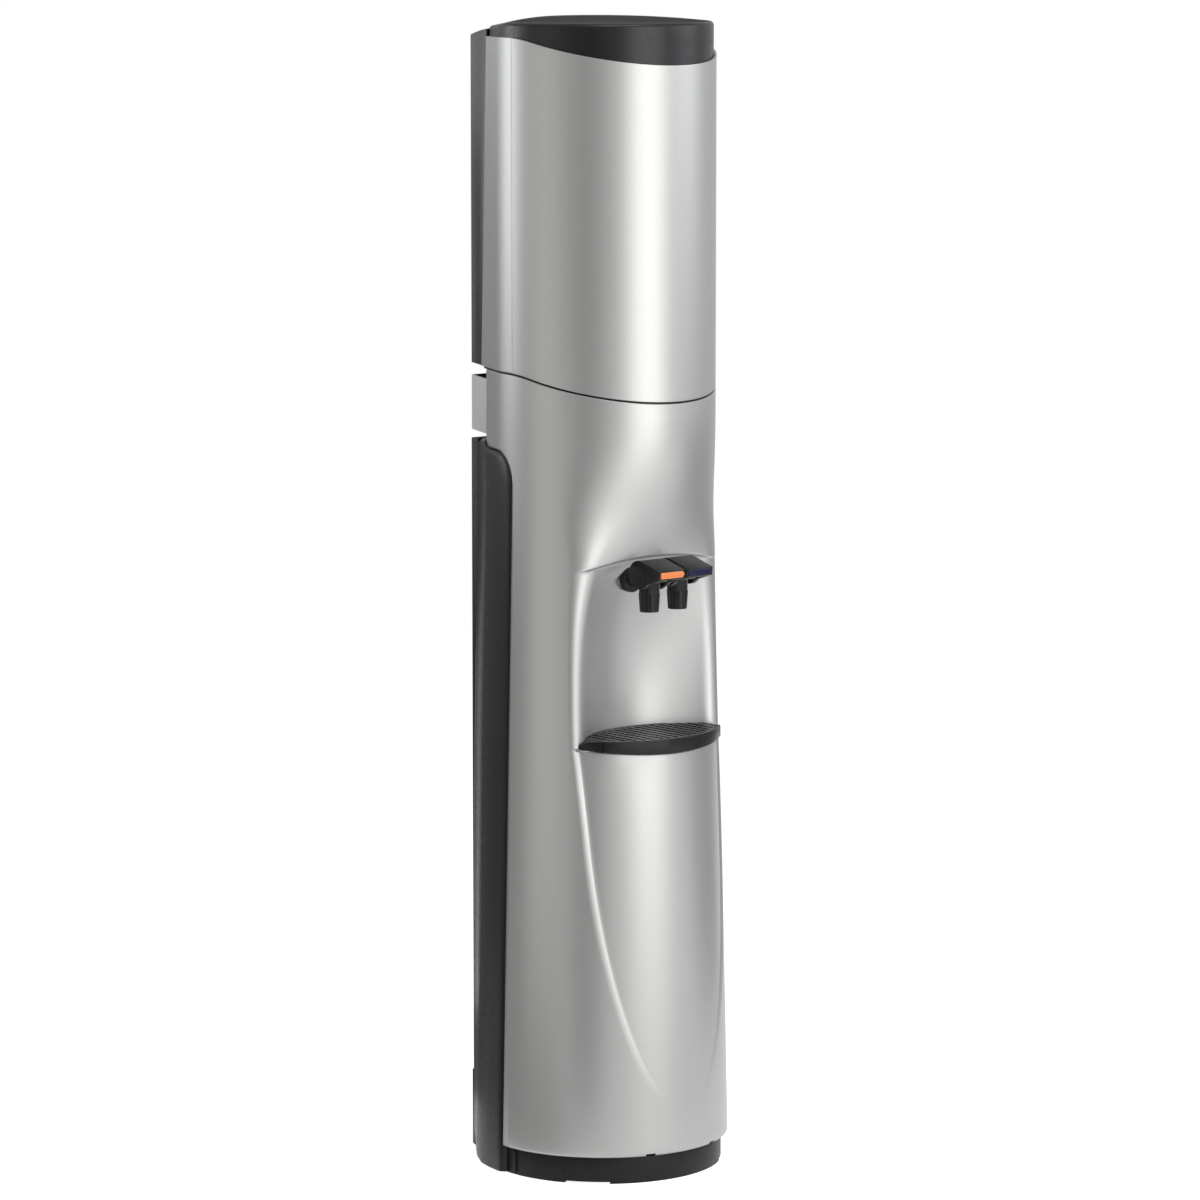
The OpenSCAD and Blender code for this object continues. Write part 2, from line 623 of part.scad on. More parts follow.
// Condenser: one serpentine tube between two rows of upright wires
coil_half = 56;
coil_y = plate_y + 5;
module condenser_tube() color("#1c1c1e") {
    for (i = [0:pass_count - 1])
        translate([-coil_half, coil_y, coil_low_z + pass_step * i]) rotate([0, 90, 0])
            cylinder(r = coil_r, h = 2 * coil_half, $fn = 24);
    for (i = [0:pass_count - 2])
        translate([i % 2 == 0 ? -coil_half : coil_half, coil_y, coil_low_z + pass_step * (i + 0.5)])
            rotate([90, i % 2 == 0 ? -90 : 90, 0]) rotate_extrude(angle = 180, $fn = 48)
                translate([pass_step / 2, 0]) circle(r = coil_r, $fn = 24);
}
wire_span = 2 * (coil_half - 2);
wire_gap = 0.1;
wire_over = pass_step / 2;
module condenser_wires() color("#1c1c1e")
    for (i = [0:wire_count - 1]) for (side = [-1, 1])
        translate([-wire_span / 2 + wire_span * i / (wire_count - 1),
            coil_y + side * (coil_r + wire_r + wire_gap), coil_low_z - wire_over])
            cylinder(r = wire_r, h = coil_top_z - coil_low_z + 2 * wire_over, $fn = 16);
clip_w = 5;
clip_h = 10;
clip_x = wire_span / 2 + wire_r + run + clip_w / 2;
module condenser_clips() color("#3a3b3d")
    for (side = [-1, 1]) for (i = [1, pass_count - 2])
        translate([side * clip_x - clip_w / 2, plate_y, coil_low_z + pass_step * i - clip_h / 2])
            cube([clip_w, coil_y - coil_r - pin_fit - plate_y, clip_h]);

// Heater switch and mains gland on the rear plate
switch_x = 50;
switch_z = 200;
rocker_w = 18;
rocker_h = 22;
rocker_tilt = 8;
rocker_y = plate_y + 4.5;
rocker_t = 5;
rocker_pin_r = 1.5;
rocker_pin = 3.5;
rocker_room = 1;
switch_wall = 4;
switch_h = 7;
module switch_block(room, from, to) translate([switch_x - rocker_w / 2 - room, from, switch_z - rocker_h / 2 - room - 1])
    cube([rocker_w + 2 * room, to - from, rocker_h + 2 * room + 2]);
module rocker_axle(reach, r) translate([switch_x - rocker_w / 2 - reach, rocker_y, switch_z]) rotate([0, 90, 0])
    cylinder(r = r, h = rocker_w + 2 * reach);
module switch_housing() color("#1a1b1c") difference() {
    switch_block(rocker_room + switch_wall, plate_y, plate_y + switch_h);
    switch_block(rocker_room, plate_y - 1, plate_y + switch_h + 1);
    rocker_axle(rocker_pin + 0.5, rocker_pin_r + pin_fit);
}
module heater_rocker() color("#b3261e") {
    translate([switch_x, rocker_y, switch_z]) rotate([rocker_tilt, 0, 0])
        translate([-rocker_w / 2, -rocker_t / 2 + 0.5, -rocker_h / 2]) cube([rocker_w, rocker_t, rocker_h]);
    rocker_axle(rocker_pin, rocker_pin_r);
}
gland_h = 9;
gland_lip = 3;
module cord_gland() color("#1a1b1c") translate([0, plate_y, gland_z]) rotate([-90, 0, 0]) difference() {
    rotate_extrude()
        polygon([[0, 0], [gland_r, 0], [gland_r, gland_lip], [gland_r - gland_lip, gland_h], [0, gland_h]]);
    translate([0, 0, -1]) cylinder(r = gland_r / 2, h = gland_h + 2);
}
screw_r = 4;
screw_h = 2.4;
screw_in = 12;
screw_low = rear_low_z + 16;
screw_mid = coil_low_z - pass_step - 5;
screw_top = rear_top_z - 26;
module case_screws() color("#8a8c8e")
    for (x = [-rear_half + screw_in, rear_half - screw_in]) for (z = [screw_low, screw_mid, screw_top])
        translate([x, plate_y, z]) rotate([-90, 0, 0]) difference() {
            cylinder(r = screw_r, h = screw_h, $fn = 32);
            for (a = [0, 90]) rotate([0, 0, a])
                translate([-screw_r * 0.6, -0.5, screw_h / 2]) cube([screw_r * 1.2, 1, screw_h]);
        }

// Drip tray: a lens between the bay wall and the front, with round tips
tip_r = 4;
tray_back_r = scoop_r * cos(scoop_tilt) / cos(scoop_flare);
module lens(i) offset(r = tip_r) offset(delta = -tip_r - i) intersection() {
    circle(r = tray_r);
    translate([0, -scoop_y - tray_back_r]) circle(r = tray_back_r - 1);
}
module middle(half, i) intersection() {
    lens(i);
    translate([-half, -2 * tray_r]) square([2 * half, 2 * tray_r]);
}
grille_seat = tray_top - grille_t - 0.7;
grille_low = grille_seat + run;
module tray_bezel() color("#2b2c2e") intersection() {
    translate([0, 0, bay_z]) linear_extrude(tray_h) difference() {
        lens(0);
        translate([-tray_half - run, -2 * tray_r]) square([2 * (tray_half + run), 2 * tray_r]);
    }
    above_ledge(0);
}
module drip_tray() color("#2b2c2e") difference() {
    intersection() {
        translate([0, 0, bay_z]) linear_extrude(tray_h) middle(tray_half, 0);
        above_ledge(-run);
    }
    intersection() {
        translate([0, 0, bay_z]) linear_extrude(2 * tray_h) middle(tray_half - tray_wall - 3, tray_wall + 3);
        above_ledge(-run - tray_wall);
    }
    translate([0, 0, grille_seat]) linear_extrude(tray_h) middle(tray_half - tray_wall, tray_wall);
}
slot_step = 2 * (tray_half - 10) / slot_count;
module drip_grille() color("#1f2022") translate([0, 0, grille_low]) linear_extrude(grille_t) difference() {
    middle(tray_half - tray_wall - run - 0.1, tray_wall + run + 0.1);
    for (i = [0:slot_count - 1]) intersection() {
        translate([slot_step * (i - (slot_count - 1) / 2) - slot_w / 2, -2 * tray_r]) square([slot_w, 2 * tray_r]);
        lens(tray_wall + 5);
    }
}

// Taps
flange_y = boss_face_y - gasket_t;
barrel_low = tap_z - 14;
barrel_top = tap_z + 10;
pin_y = -spout_y - 17;
pin_z = tap_z + 6;
ear_r = 5;
lever_gap = 2 * barrel_r + 2;
ear_w = lever_gap - 4;
seat_t = 4;
plug_r = 8;
chamber_r = 9;
chamber_low = barrel_low + seat_t;
chamber_h = 15;
stem_r = 2.5;
module tap_gaskets() color("#141415") for (x = [-tap_x, tap_x]) difference() {
    along_y(x, flange_y, boss_face_y, flange_r);
    along_y(x, flange_y - 1, boss_face_y + 1, shank_r + pin_fit);
}
module tap_nuts() color("#c9b37a") for (x = [-tap_x, tap_x]) difference() {
    translate([x, boss_back_y, tap_z]) rotate([-90, 0, 0]) cylinder(r = shank_r + 6, h = 7, $fn = 6);
    along_y(x, boss_back_y - 1, boss_back_y + 8, shank_r + pin_fit);
}
module across_x(x, y, z, r, w) translate([x - w / 2, y, z]) rotate([0, 90, 0]) cylinder(r = r, h = w);
module tap_body(x) difference() {
    union() {
        along_y(x, flange_y - 5.5, flange_y, flange_r);
        along_y(x, -spout_y, shank_end, shank_r);
        translate([x, -spout_y, barrel_low]) cylinder(r = barrel_r, h = barrel_top - barrel_low);
        across_x(x, pin_y, pin_z, ear_r, ear_w);
        translate([x - ear_w / 2, pin_y, pin_z - ear_r]) cube([ear_w, -spout_y - pin_y, barrel_top - pin_z + ear_r]);
    }
    translate([x, -spout_y, barrel_low - 1]) cylinder(r = plug_r - 2, h = seat_t + 2);
    translate([x, -spout_y, chamber_low]) cylinder(r = chamber_r, h = chamber_h);
    translate([x, -spout_y, chamber_low]) cylinder(r = stem_r + run, h = chamber_h + 20);
    along_y(x, -spout_y, shank_end + 1, shank_r / 2);
    across_x(x, pin_y, pin_z, pin_r + pin_fit, ear_w + 2);
}
module hot_tap_body() color("#222324") tap_body(-tap_x);
module cold_tap_body() color("#222324") tap_body(tap_x);

// Nozzle: a fluted sleeve under the barrel
flute_count = 14;
flute_w = 2;
flute_d = 0.6;
module nozzle(x) translate([x, -spout_y, barrel_low - nozzle_h]) difference() {
    cylinder(r1 = nozzle_tip_r, r2 = barrel_r + 0.5, h = nozzle_h);
    translate([0, 0, -1]) cylinder(r = chamber_r - 0.5, h = nozzle_h + 2);
    for (i = [0:flute_count - 1]) rotate([0, 0, 360 * i / flute_count])
        translate([nozzle_tip_r - flute_d, -flute_w / 2, 2]) cube([4, flute_w, nozzle_h]);
}
module hot_nozzle() color("#1d1e1f") nozzle(-tap_x);
module cold_nozzle() color("#1d1e1f") nozzle(tap_x);
module tap_pins() color("#9a9c9e") for (x = [-tap_x, tap_x]) across_x(x, pin_y, pin_z, pin_r, lever_w - 1);

// Lever: round cheeks on both sides of the tap and a sloped thumb plate
hub_y = -spout_y - 3;
hub_z = tap_z + 11;
lever_slope = 16;
lever_front_h = 10.5;
lever_skin = 3;
brow_y = hub_y - cheek_r * sin(lever_slope);
brow_top = hub_z + cheek_r * cos(lever_slope);
tip_top = brow_top - (lever_reach + brow_y) * tan(lever_slope);
nose_t = 6;
module lever_side(i) {
    translate([hub_y, hub_z]) circle(r = cheek_r - i);
    polygon([[hub_y, hub_z], [brow_y, brow_top - i], [-lever_reach, tip_top - i],
        [-lever_reach + 1, tip_top - lever_front_h], [pin_y - 4, pin_z - ear_r], [hub_y, hub_z - cheek_r + 2]]);
}
module lever_block(x, w) translate([x - w / 2, 0, 0]) rotate([90, 0, 90]) linear_extrude(w) children();
pocket_d = 2.3;
pocket_half = lever_w / 2 - 2;
prong_z = barrel_top + 1.5;
prong_t = 2;
module lever(x, open) difference() {
    union() {
        difference() {
            lever_block(x, lever_w) lever_side(0);
            lever_block(x, lever_gap) {
                intersection() {
                    lever_side(lever_skin);
                    translate([-lever_reach + nose_t, 0]) square([lever_reach, 2 * big]);
                }
                translate([-lever_reach + nose_t, hub_z - 60]) square([lever_reach, 60]);
            }
        }
        for (side = [-1, 1])
            translate([x + side * (stem_r + 1.5) - (side < 0 ? lever_gap / 2 - stem_r : 0), -spout_y - 4, prong_z])
                cube([lever_gap / 2 - stem_r, 8, prong_t]);
    }
    translate([x - pocket_half, -lever_reach - 1, tip_top - lever_front_h + 1])
        cube([2 * pocket_half + open, pocket_d + 1, lever_front_h - 2]);
    across_x(x, pin_y, pin_z, pin_r + pin_fit, lever_w + 2);
}
module hot_lever() color("#242526") lever(-tap_x, lever_w - 2 * pocket_half);
module cold_lever() color("#242526") lever(tap_x, 0);

// Orange catch with a pointed end, and the blue insert
catch_point = 3.5;
insert_h = lever_front_h - 2 - 2 * run;
module insert(x, from, to, point) translate([x, -lever_reach + pocket_d - run, tip_top - lever_front_h + 1 + run])
    rotate([90, 0, 0]) linear_extrude(pocket_d + 0.3)
        polygon([[from, 0], [to, 0], [to + point, insert_h / 2], [to, insert_h], [from, insert_h]]);
module hot_catch() color("#f0763a")
    insert(-tap_x, -pocket_half + run, lever_w / 2 - catch_point - run, catch_point);
module cold_tip() color("#2b2a5c") insert(tap_x, -pocket_half + run, pocket_half - run - 0.5, 0.5);

// Valve stem with its soft plug; the lever's prongs lift its head
module valve_stem(x) translate([x, -spout_y, 0]) {
    translate([0, 0, chamber_low + run]) cylinder(r = plug_r, h = 6);
    translate([0, 0, chamber_low + 3]) cylinder(r = stem_r, h = prong_z + prong_t + 2 - chamber_low - 3);
    translate([0, 0, prong_z + prong_t + run]) cylinder(r = stem_r + 3, h = 3);
}
module hot_valve_stem() color("#dcdcd8") valve_stem(-tap_x);
module cold_valve_stem() color("#dcdcd8") valve_stem(tap_x);

// Bottle cover with the ledge that carries the lid
lid_z = cover_z + lid_rise;
panel_z = split_z + panel_rise;
cover_low = deck_top + run;
ledge_w = 5;
ledge_t = 3;
edge_low = split_z - 80;
edge_high = lid_z + 20;
function cover_edge(z) = cover_y - (z - split_z) * tan(cover_lean);
module before_edge() side_block([[-big, edge_low], [cover_edge(edge_low), edge_low],
    [cover_edge(edge_high), edge_high], [-big, edge_high]]);
module behind_edge(gap) side_block([[cover_edge(edge_low) + gap, edge_low], [big, edge_low], [big, edge_high],
    [cover_edge(edge_high) + gap, edge_high]]);
module bottle_cover() color("#bcbdb9") {
    difference() {
        intersection() {
            prism(0, split_z - 60, cover_z);
            under(cover_z);
            before_edge();
        }
        prism(wall, split_z - 70, cover_z + 10);
        under(cover_low);
    }
    difference() {
        intersection() {
            prism(wall - 1, cover_z - 80, cover_z);
            under(cover_z - lid_skirt - run);
            before_edge();
        }
        prism(wall + ledge_w, cover_z - 90, cover_z + 10);
        under(cover_z - lid_skirt - run - ledge_t);
    }
}
module dome(r) translate([0, 0, lid_z - dome_r]) sphere(r = r, $fn = 128);
module cover_rear_panel() color("#2a2b2d") difference() {
    intersection() {
        prism(0, panel_z, lid_z);
        dome(dome_r);
        behind_edge(seam);
    }
    intersection() {
        prism(wall, panel_z - 10, lid_z);
        dome(dome_r - wall);
    }
}

// Lid: a domed plug that drops into the cover
lid_wall = 2.5;
lid_rear = cover_edge(lid_z) - seam;
module lid() color("#252628") difference() {
    intersection() {
        prism(lid_inset, cover_z - 80, lid_z + 1);
        dome(dome_r);
        before(lid_rear);
    }
    under(cover_z - lid_skirt);
    intersection() {
        prism(lid_inset + lid_wall, cover_z - 90, lid_z);
        dome(dome_r - lid_wall);
        before(lid_rear - lid_wall);
    }
}

base_pan();
front_shell();
rear_shell_left();
rear_shell_right();
rear_frame();
collar_rear();
top_deck();
bottle_receiver();
receiver_probe();
tank_shelf();
tank_insulation();
cold_tank();
evaporator_jacket();
baffle();
hot_tank();
heater_band();
thermostat();
cold_outlet_tube();
hot_outlet_tube();
hot_feed_tube();
drain_tube();
drain_plug();
compressor();
compressor_grommets();
discharge_line();
suction_line();
liquid_line();
filter_drier();
capillary_tube();
condenser_tube();
condenser_wires();
condenser_clips();
switch_housing();
heater_rocker();
cord_gland();
case_screws();
tray_bezel();
drip_tray();
drip_grille();
tap_gaskets();
tap_nuts();
hot_tap_body();
cold_tap_body();
hot_nozzle();
cold_nozzle();
tap_pins();
hot_lever();
cold_lever();
hot_catch();
cold_tip();
hot_valve_stem();
cold_valve_stem();
bottle_cover();
cover_rear_panel();
lid();
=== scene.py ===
import json
from math import acos, asin, atan2, copysign, cos, hypot, pi, radians, sin, tan

import bpy
import numpy as np
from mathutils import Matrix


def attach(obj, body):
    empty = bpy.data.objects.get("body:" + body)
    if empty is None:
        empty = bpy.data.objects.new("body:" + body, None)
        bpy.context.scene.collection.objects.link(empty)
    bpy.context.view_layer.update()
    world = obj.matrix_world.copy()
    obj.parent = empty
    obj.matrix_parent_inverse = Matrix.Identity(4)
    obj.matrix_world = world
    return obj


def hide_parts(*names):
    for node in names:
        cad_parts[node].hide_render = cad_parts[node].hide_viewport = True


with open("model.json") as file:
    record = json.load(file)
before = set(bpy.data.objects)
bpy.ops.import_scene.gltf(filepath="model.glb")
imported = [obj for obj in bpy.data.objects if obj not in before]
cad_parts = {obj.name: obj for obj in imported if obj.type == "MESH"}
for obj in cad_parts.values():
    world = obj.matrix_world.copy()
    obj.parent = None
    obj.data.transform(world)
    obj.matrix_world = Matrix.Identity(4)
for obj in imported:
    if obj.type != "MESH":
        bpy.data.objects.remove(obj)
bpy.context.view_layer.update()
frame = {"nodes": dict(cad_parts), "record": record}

# A free-standing bottled-water cooler: a tapered silver cabinet with a scooped bay, two lever taps
# and a drip tray, a silver cover over the bottle, a domed lid, and black mouldings at the rear.
# Metres, +Z up, front along -Y, origin on the floor under the axis of the cabinet.
scene = bpy.context.scene
bpy.ops.object.select_all(action="DESELECT")


# The studio: a camera in front and to the left, a pale floor that keeps a soft shadow, a bright
# surround, and soft boxes before, beside, behind and above the cooler. The cards and the grey wall
# are seen in gloss only: the dim ones are painted shade in the gloss, and the bright edge, bay and
# floor light cards are painted highlights in it.
view_turn = radians(41)
view_fall = radians(7.78)
bpy.ops.object.camera_add(location=(-4.237, -4.874, 1.606), rotation=(pi / 2 - view_fall, 0, -view_turn))
camera = bpy.context.object
camera.data.lens = 153.7
camera.data.sensor_width = 36
camera.data.shift_x = -0.0031
scene.camera = camera
scene.view_settings.view_transform = "Standard"


def seen_directly(tree):
    """One for rays that show the surround itself, in the picture, in gloss or through glass."""
    path = tree.nodes.new("ShaderNodeLightPath")
    total = path.outputs["Is Camera Ray"]
    for ray in ("Is Glossy Ray", "Is Transmission Ray"):
        either = tree.nodes.new("ShaderNodeMath")
        either.operation = "MAXIMUM"
        tree.links.new(total, either.inputs[0])
        tree.links.new(path.outputs[ray], either.inputs[1])
        total = either.outputs[0]
    return total


surround_fill = 0.145
scene.world = bpy.data.worlds.new("bright_surround")
scene.world.use_nodes = True
surround = scene.world.node_tree
surround_light = surround.nodes["Background"]
surround_light.inputs["Color"].default_value = (1, 1, 1, 1)
surround_level = surround.nodes.new("ShaderNodeMapRange")
surround_level.inputs["To Min"].default_value = surround_fill
surround_level.inputs["To Max"].default_value = 1.0
surround.links.new(seen_directly(surround), surround_level.inputs["Value"])
surround.links.new(surround_level.outputs["Result"], surround_light.inputs["Strength"])

floor_size = 200.0
bpy.ops.mesh.primitive_plane_add(size=floor_size)
floor = bpy.context.object
floor.name = "floor"
floor_paint = bpy.data.materials.new("floor_paint")
floor_paint.use_nodes = True
floor_tree = floor_paint.node_tree
floor_tree.nodes.remove(floor_tree.nodes["Principled BSDF"])
matt_white = floor_tree.nodes.new("ShaderNodeBsdfDiffuse")
matt_white.inputs["Color"].default_value = (0.8, 0.8, 0.8, 1)
floor_glow = floor_tree.nodes.new("ShaderNodeEmission")
floor_glow.inputs["Strength"].default_value = 0.885
lifted_white = floor_tree.nodes.new("ShaderNodeAddShader")
floor_tree.links.new(matt_white.outputs[0], lifted_white.inputs[0])
floor_tree.links.new(floor_glow.outputs[0], lifted_white.inputs[1])
floor_choice = floor_tree.nodes.new("ShaderNodeMixShader")
floor_tree.links.new(seen_directly(floor_tree), floor_choice.inputs["Fac"])
floor_tree.links.new(matt_white.outputs[0], floor_choice.inputs[1])
floor_tree.links.new(lifted_white.outputs[0], floor_choice.inputs[2])
floor_tree.links.new(floor_choice.outputs[0], floor_tree.nodes["Material Output"].inputs["Surface"])
floor.data.materials.append(floor_paint)


aim_z = 0.75


def soft_box(name, turn, distance, height, width, tall, power, tint):
    """A tall soft light at a plan angle from the front, aimed at the middle of the cooler."""
    place = (distance * sin(radians(turn)), -distance * cos(radians(turn)), height)
    tip = atan2(height - aim_z, distance)
    bpy.ops.object.light_add(type="AREA", location=place, rotation=(pi / 2 - tip, 0, radians(turn)))
    lamp = bpy.context.object
    lamp.name = name
    lamp.data.shape = "RECTANGLE"
    lamp.data.size = width
    lamp.data.size_y = tall
    lamp.data.energy = power
    lamp.data.color = tint


soft_box("key_box", 3.5, 2.6, 1.25, 1.7, 2.4, 41, (1, 0.985, 0.965))
soft_box("side_box", -102, 3.0, 1.2, 1.3, 2.2, 4.4, (1, 0.99, 0.8))
soft_box("back_box", -151, 3.0, 1.41, 1.1, 1.2, 15, (0.97, 0.98, 1))
soft_box("right_box", 52, 3.0, 1.9, 1.6, 1.5, 22, (0.95, 0.965, 1))
soft_box("top_box", -15, 1.0, 2.9, 1.4, 0.5, 13, (1, 1, 1))


def hide_but_in_gloss(card, name, level):
    """Make a sheet of one brightness that is seen only in gloss: painted shade if dim, a painted
    highlight if bright.
    """
    card.name = name
    card.visible_camera = False
    card.visible_diffuse = False
    card.visible_shadow = False
    card.visible_transmission = False
    paint = bpy.data.materials.new(name)
    paint.use_nodes = True
    shader = paint.node_tree.nodes["Principled BSDF"]
    shader.inputs["Base Color"].default_value = (0, 0, 0, 1)
    shader.inputs["Specular IOR Level"].default_value = 0
    shader.inputs["Emission Color"].default_value = (1, 1, 1, 1)
    shader.inputs["Emission Strength"].default_value = level
    card.data.materials.append(paint)


def gloss_card(name, place, rotation, width, tall, level):
    """A flat card of one brightness for the gloss."""
    bpy.ops.mesh.primitive_plane_add(size=1, location=place, rotation=rotation)
    bpy.context.object.scale = (width, tall, 1)
    hide_but_in_gloss(bpy.context.object, name, level)


def upright_card(name, turn, distance, height, width, tall, level):
    """A card that stands at a plan angle from the front and faces the cooler."""
    place = (distance * sin(radians(turn)), -distance * cos(radians(turn)), height)
    gloss_card(name, place, (pi / 2, 0, radians(turn)), width, tall, level)


upright_card("back_card", 179, 2.5, 0.8, 1.0, 1.0, 0.07)
upright_card("low_back_card", -179, 1.2, 0.36, 1.0, 1.0, 0.25)
upright_card("left_card", -141, 1.2, 0.36, 1.0, 1.0, 0.38)
upright_card("right_card", 74, 1.2, 0.3, 1.0, 1.0, 0.4)
upright_card("edge_card", 159, 0.95, 0.4, 0.2, 0.95, 2.2)
upright_card("hem_card", 0, 0.75, 0.035, 1.4, 0.07, 0.7)
gloss_card("bay_card", (-0.06, -0.30, 0.61), (pi / 2, 0, radians(-38)), 0.2, 0.17, 1.9)
upright_card("high_card", 139, 3.0, 2.15, 1.0, 1.0, 0.0)
gloss_card("front_card", (-0.408, -0.288, 0.75), (pi / 2, 0, radians(-57)), 0.22, 1.5, 0.4)
gloss_card("floor_shade", (-0.75, 0.35, 0.001), (0, 0, 0), 1.0, 1.0, 0.4)
gloss_card("rear_floor_shade", (0.3, 0.9, 0.001), (0, 0, 0), 1.0, 1.0, 0.2)
gloss_card("floor_light", (0.15, -0.78, 0.001), (0, 0, 0), 1.0, 0.65, 1.3)
bpy.ops.mesh.primitive_cylinder_add(radius=4, depth=6, end_fill_type="NOTHING", location=(0, 0, 3.01))
hide_but_in_gloss(bpy.context.object, "studio_wall", 0.725)


# Front shell: the large silver moulding with the scooped bay, the brow and chin over the taps and
# the leaf-shaped apron. Satin metallic paint on a 3 mm plastic wall, clipped to the base pan.
foot_r = 0.1598
waist_r = 0.1415
skirt_z = 0.035
waist_z = 0.855
hem = 0.004
wall = 0.003
split_z = 1.018
split_tilt = radians(13.2)
split_round = 0.200
rear_y = 0.160
rear_half = 0.085
edge_y = 0.012
edge_turn_z = 0.881
edge_turn_r = 0.040
collar_y = 0.098
collar_turn_r = 0.012
side_turn = pi / 2 + atan2(rear_y, rear_half) - acos(waist_r / hypot(rear_half, rear_y))
bay_z = 0.546
ledge_r = 0.870
ledge_fade = 0.06
tray_top = 0.565
scoop_y = 0.036
scoop_lean = -0.11
scoop_curve = 1.469
brow_z = 0.794
brow_drop = 0.012
brow_round = 0.006
ceiling_round = 0.008
chin_y = 0.100
chin_tilt = radians(19)
chin_blend = 0.020
chin_end_z = 0.968
lip_half = 0.1134
lip_wide_z = 0.575
lip_bow = 7.5
lip_cut = 0.021
lip_fade = 0.050
leaf_half = 0.1185
leaf_top = 0.5555
leaf_h = 0.464
leaf_power = 2.15
leaf_flare = 0.005
leaf_tip_half = 0.006
apron_inset = 0.005
apron_fade = 0.9
step_w = 0.011
inner_steps = 28
lip_steps = 16
outer_steps = 24


def taper(z):
    """Radius of the cabinet at a height, with a soft end to its taper."""
    slope = (foot_r - waist_r) / (waist_z - skirt_z)
    soft = 0.03
    return waist_r + slope * soft * np.logaddexp(0, (waist_z - z) / soft)


def ease(share):
    """Smooth step from 0 to 1."""
    share = np.clip(share, 0, 1)
    return share * share * (3 - 2 * share)


def split_line(y, level):
    """Height of an edge that is level behind the axis and falls towards the front."""
    start = split_round * tan(split_tilt / 2)
    bend = level - split_round + np.sqrt(np.maximum(split_round ** 2 - (y - start) ** 2, 0))
    sloped = level + y * tan(split_tilt)
    return np.where(y > start, level, np.where(y < start - split_round * sin(split_tilt), sloped, bend))


def join_row(angles, radii):
    """Plan points at angles from the front."""
    return np.stack([radii * np.sin(angles), -radii * np.cos(angles)], axis=1)


def leaf_width(z):
    """Half width of the leaf at a height."""
    share = np.clip((leaf_top - z) / leaf_h, 0, 1)
    flare = leaf_flare * max(1 - share / 0.25, 0) ** 2
    return max(leaf_half * (1 - share ** leaf_power) ** (1 / leaf_power) + flare, leaf_tip_half)


def apron_row(z, hem_in=0.0, edge_in=0.0):
    """Half a level section through the apron, its stepped leaf edge and the round side."""
    r = taper(z) - hem_in
    sunk = apron_inset * np.clip((z - leaf_top + leaf_h) / leaf_h, 0, 1) ** apron_fade
    lip = asin(leaf_width(z) / r)
    step = step_w / r
    share = np.linspace(0, 1, lip_steps + 1)[1:]
    inner = np.linspace(0, lip - step / 2, inner_steps + 1)
    outer = np.linspace(lip + step / 2, acos(-edge_y / r), outer_steps + 1)[1:]
    angles = np.concatenate([inner, lip + step * (share - 0.5), outer])
    depth = np.concatenate([np.full(inner_steps + 1, sunk + edge_in),
                            (sunk + edge_in) * (1 - np.sin(share * pi / 2)), np.zeros(outer_steps)])
    plan = join_row(angles, r - depth)
    return np.column_stack([plan, np.full(len(plan), z)])


def bay_row(z, middle, cut, drop=0.0):
    """Half a level section through the bay or the chin, the rounded lip and the round side."""
    r = taper(z)
    side_cut = lip_cut + 0.3 * (cut - lip_cut)
    half = lip_half - (z - lip_wide_z) ** 2 / (2 * lip_bow)
    lip = asin(half / r)
    fall = -r * cos(lip) - middle
    bend = 2 * fall / (half ** 2 + fall ** 2)
    bend = bend if abs(bend) > 1e-6 else 1e-6
    length = asin(bend * half) / bend
    along = np.linspace(0, length - cut, inner_steps + 1)
    inner = np.stack([np.sin(bend * along) / bend, middle + (1 - np.cos(bend * along)) / bend], axis=1)
    outer = join_row(np.linspace(lip + side_cut / r, acos(-edge_y / r), outer_steps + 1), r)
    turn_in = bend * (length - cut)
    turn_out = lip + side_cut / r
    way_in = np.array([cos(turn_in), sin(turn_in)])
    way_out = np.array([cos(turn_out), sin(turn_out)])
    gap = outer[0] - inner[-1]
    across = way_in[0] * way_out[1] - way_in[1] * way_out[0]
    reach = (gap[0] * way_out[1] - gap[1] * way_out[0]) / across
    knee = inner[-1] + reach * way_in
    weight = cos((turn_out - turn_in) / 2)
    share = np.linspace(0, 1, lip_steps + 1)[1:, None]
    parts = [(1 - share) ** 2, 2 * weight * share * (1 - share), share ** 2]
    lips = (parts[0] * inner[-1] + parts[1] * knee + parts[2] * outer[0]) / sum(parts)
    plan = np.concatenate([inner, lips, outer[1:]])
    sag = np.minimum(plan[:, 0] / half, 1) ** 2
    sag[-outer_steps:] *= 1 - ease(np.linspace(0, 1, outer_steps + 1)[1:])
    heights = z - drop * sag
    plan *= (taper(heights) / r)[:, None]
    return np.column_stack([plan, heights])


def lift_ledge(row):
    """Raise a half section near the ledge towards its sides, as the ledge is hollow in front view."""
    near = 1 - ease(abs(row[0][2] - bay_z) / ledge_fade)
    reach = np.minimum(row[:, 0], leaf_half) ** 2 / (2 * ledge_r)
    reach[-outer_steps:] *= 1 - ease(np.linspace(0, 1, outer_steps + 1)[1:] * 1.6)
    lifted = row.copy()
    lifted[:, 2] += near * reach
    lifted[:, :2] *= (taper(lifted[:, 2]) / taper(row[:, 2]))[:, None]
    return lifted


def bay_wall_y(z):
    """Depth of the middle of the bay wall, nearly upright at the tray and leaning forward above."""
    rise = np.maximum(z - tray_top, 0)
    return -scoop_y - scoop_lean * rise - scoop_curve * rise ** 2


def chin_middle(z):
    """Depth of the middle of the chin, which runs smoothly into the round front."""
    slope_y = chin_y + (z - brow_z) * tan(chin_tilt)
    gap = max(chin_blend - abs(slope_y - taper(z)), 0) / chin_blend
    return -min(slope_y, taper(z)) + gap * gap * chin_blend / 4


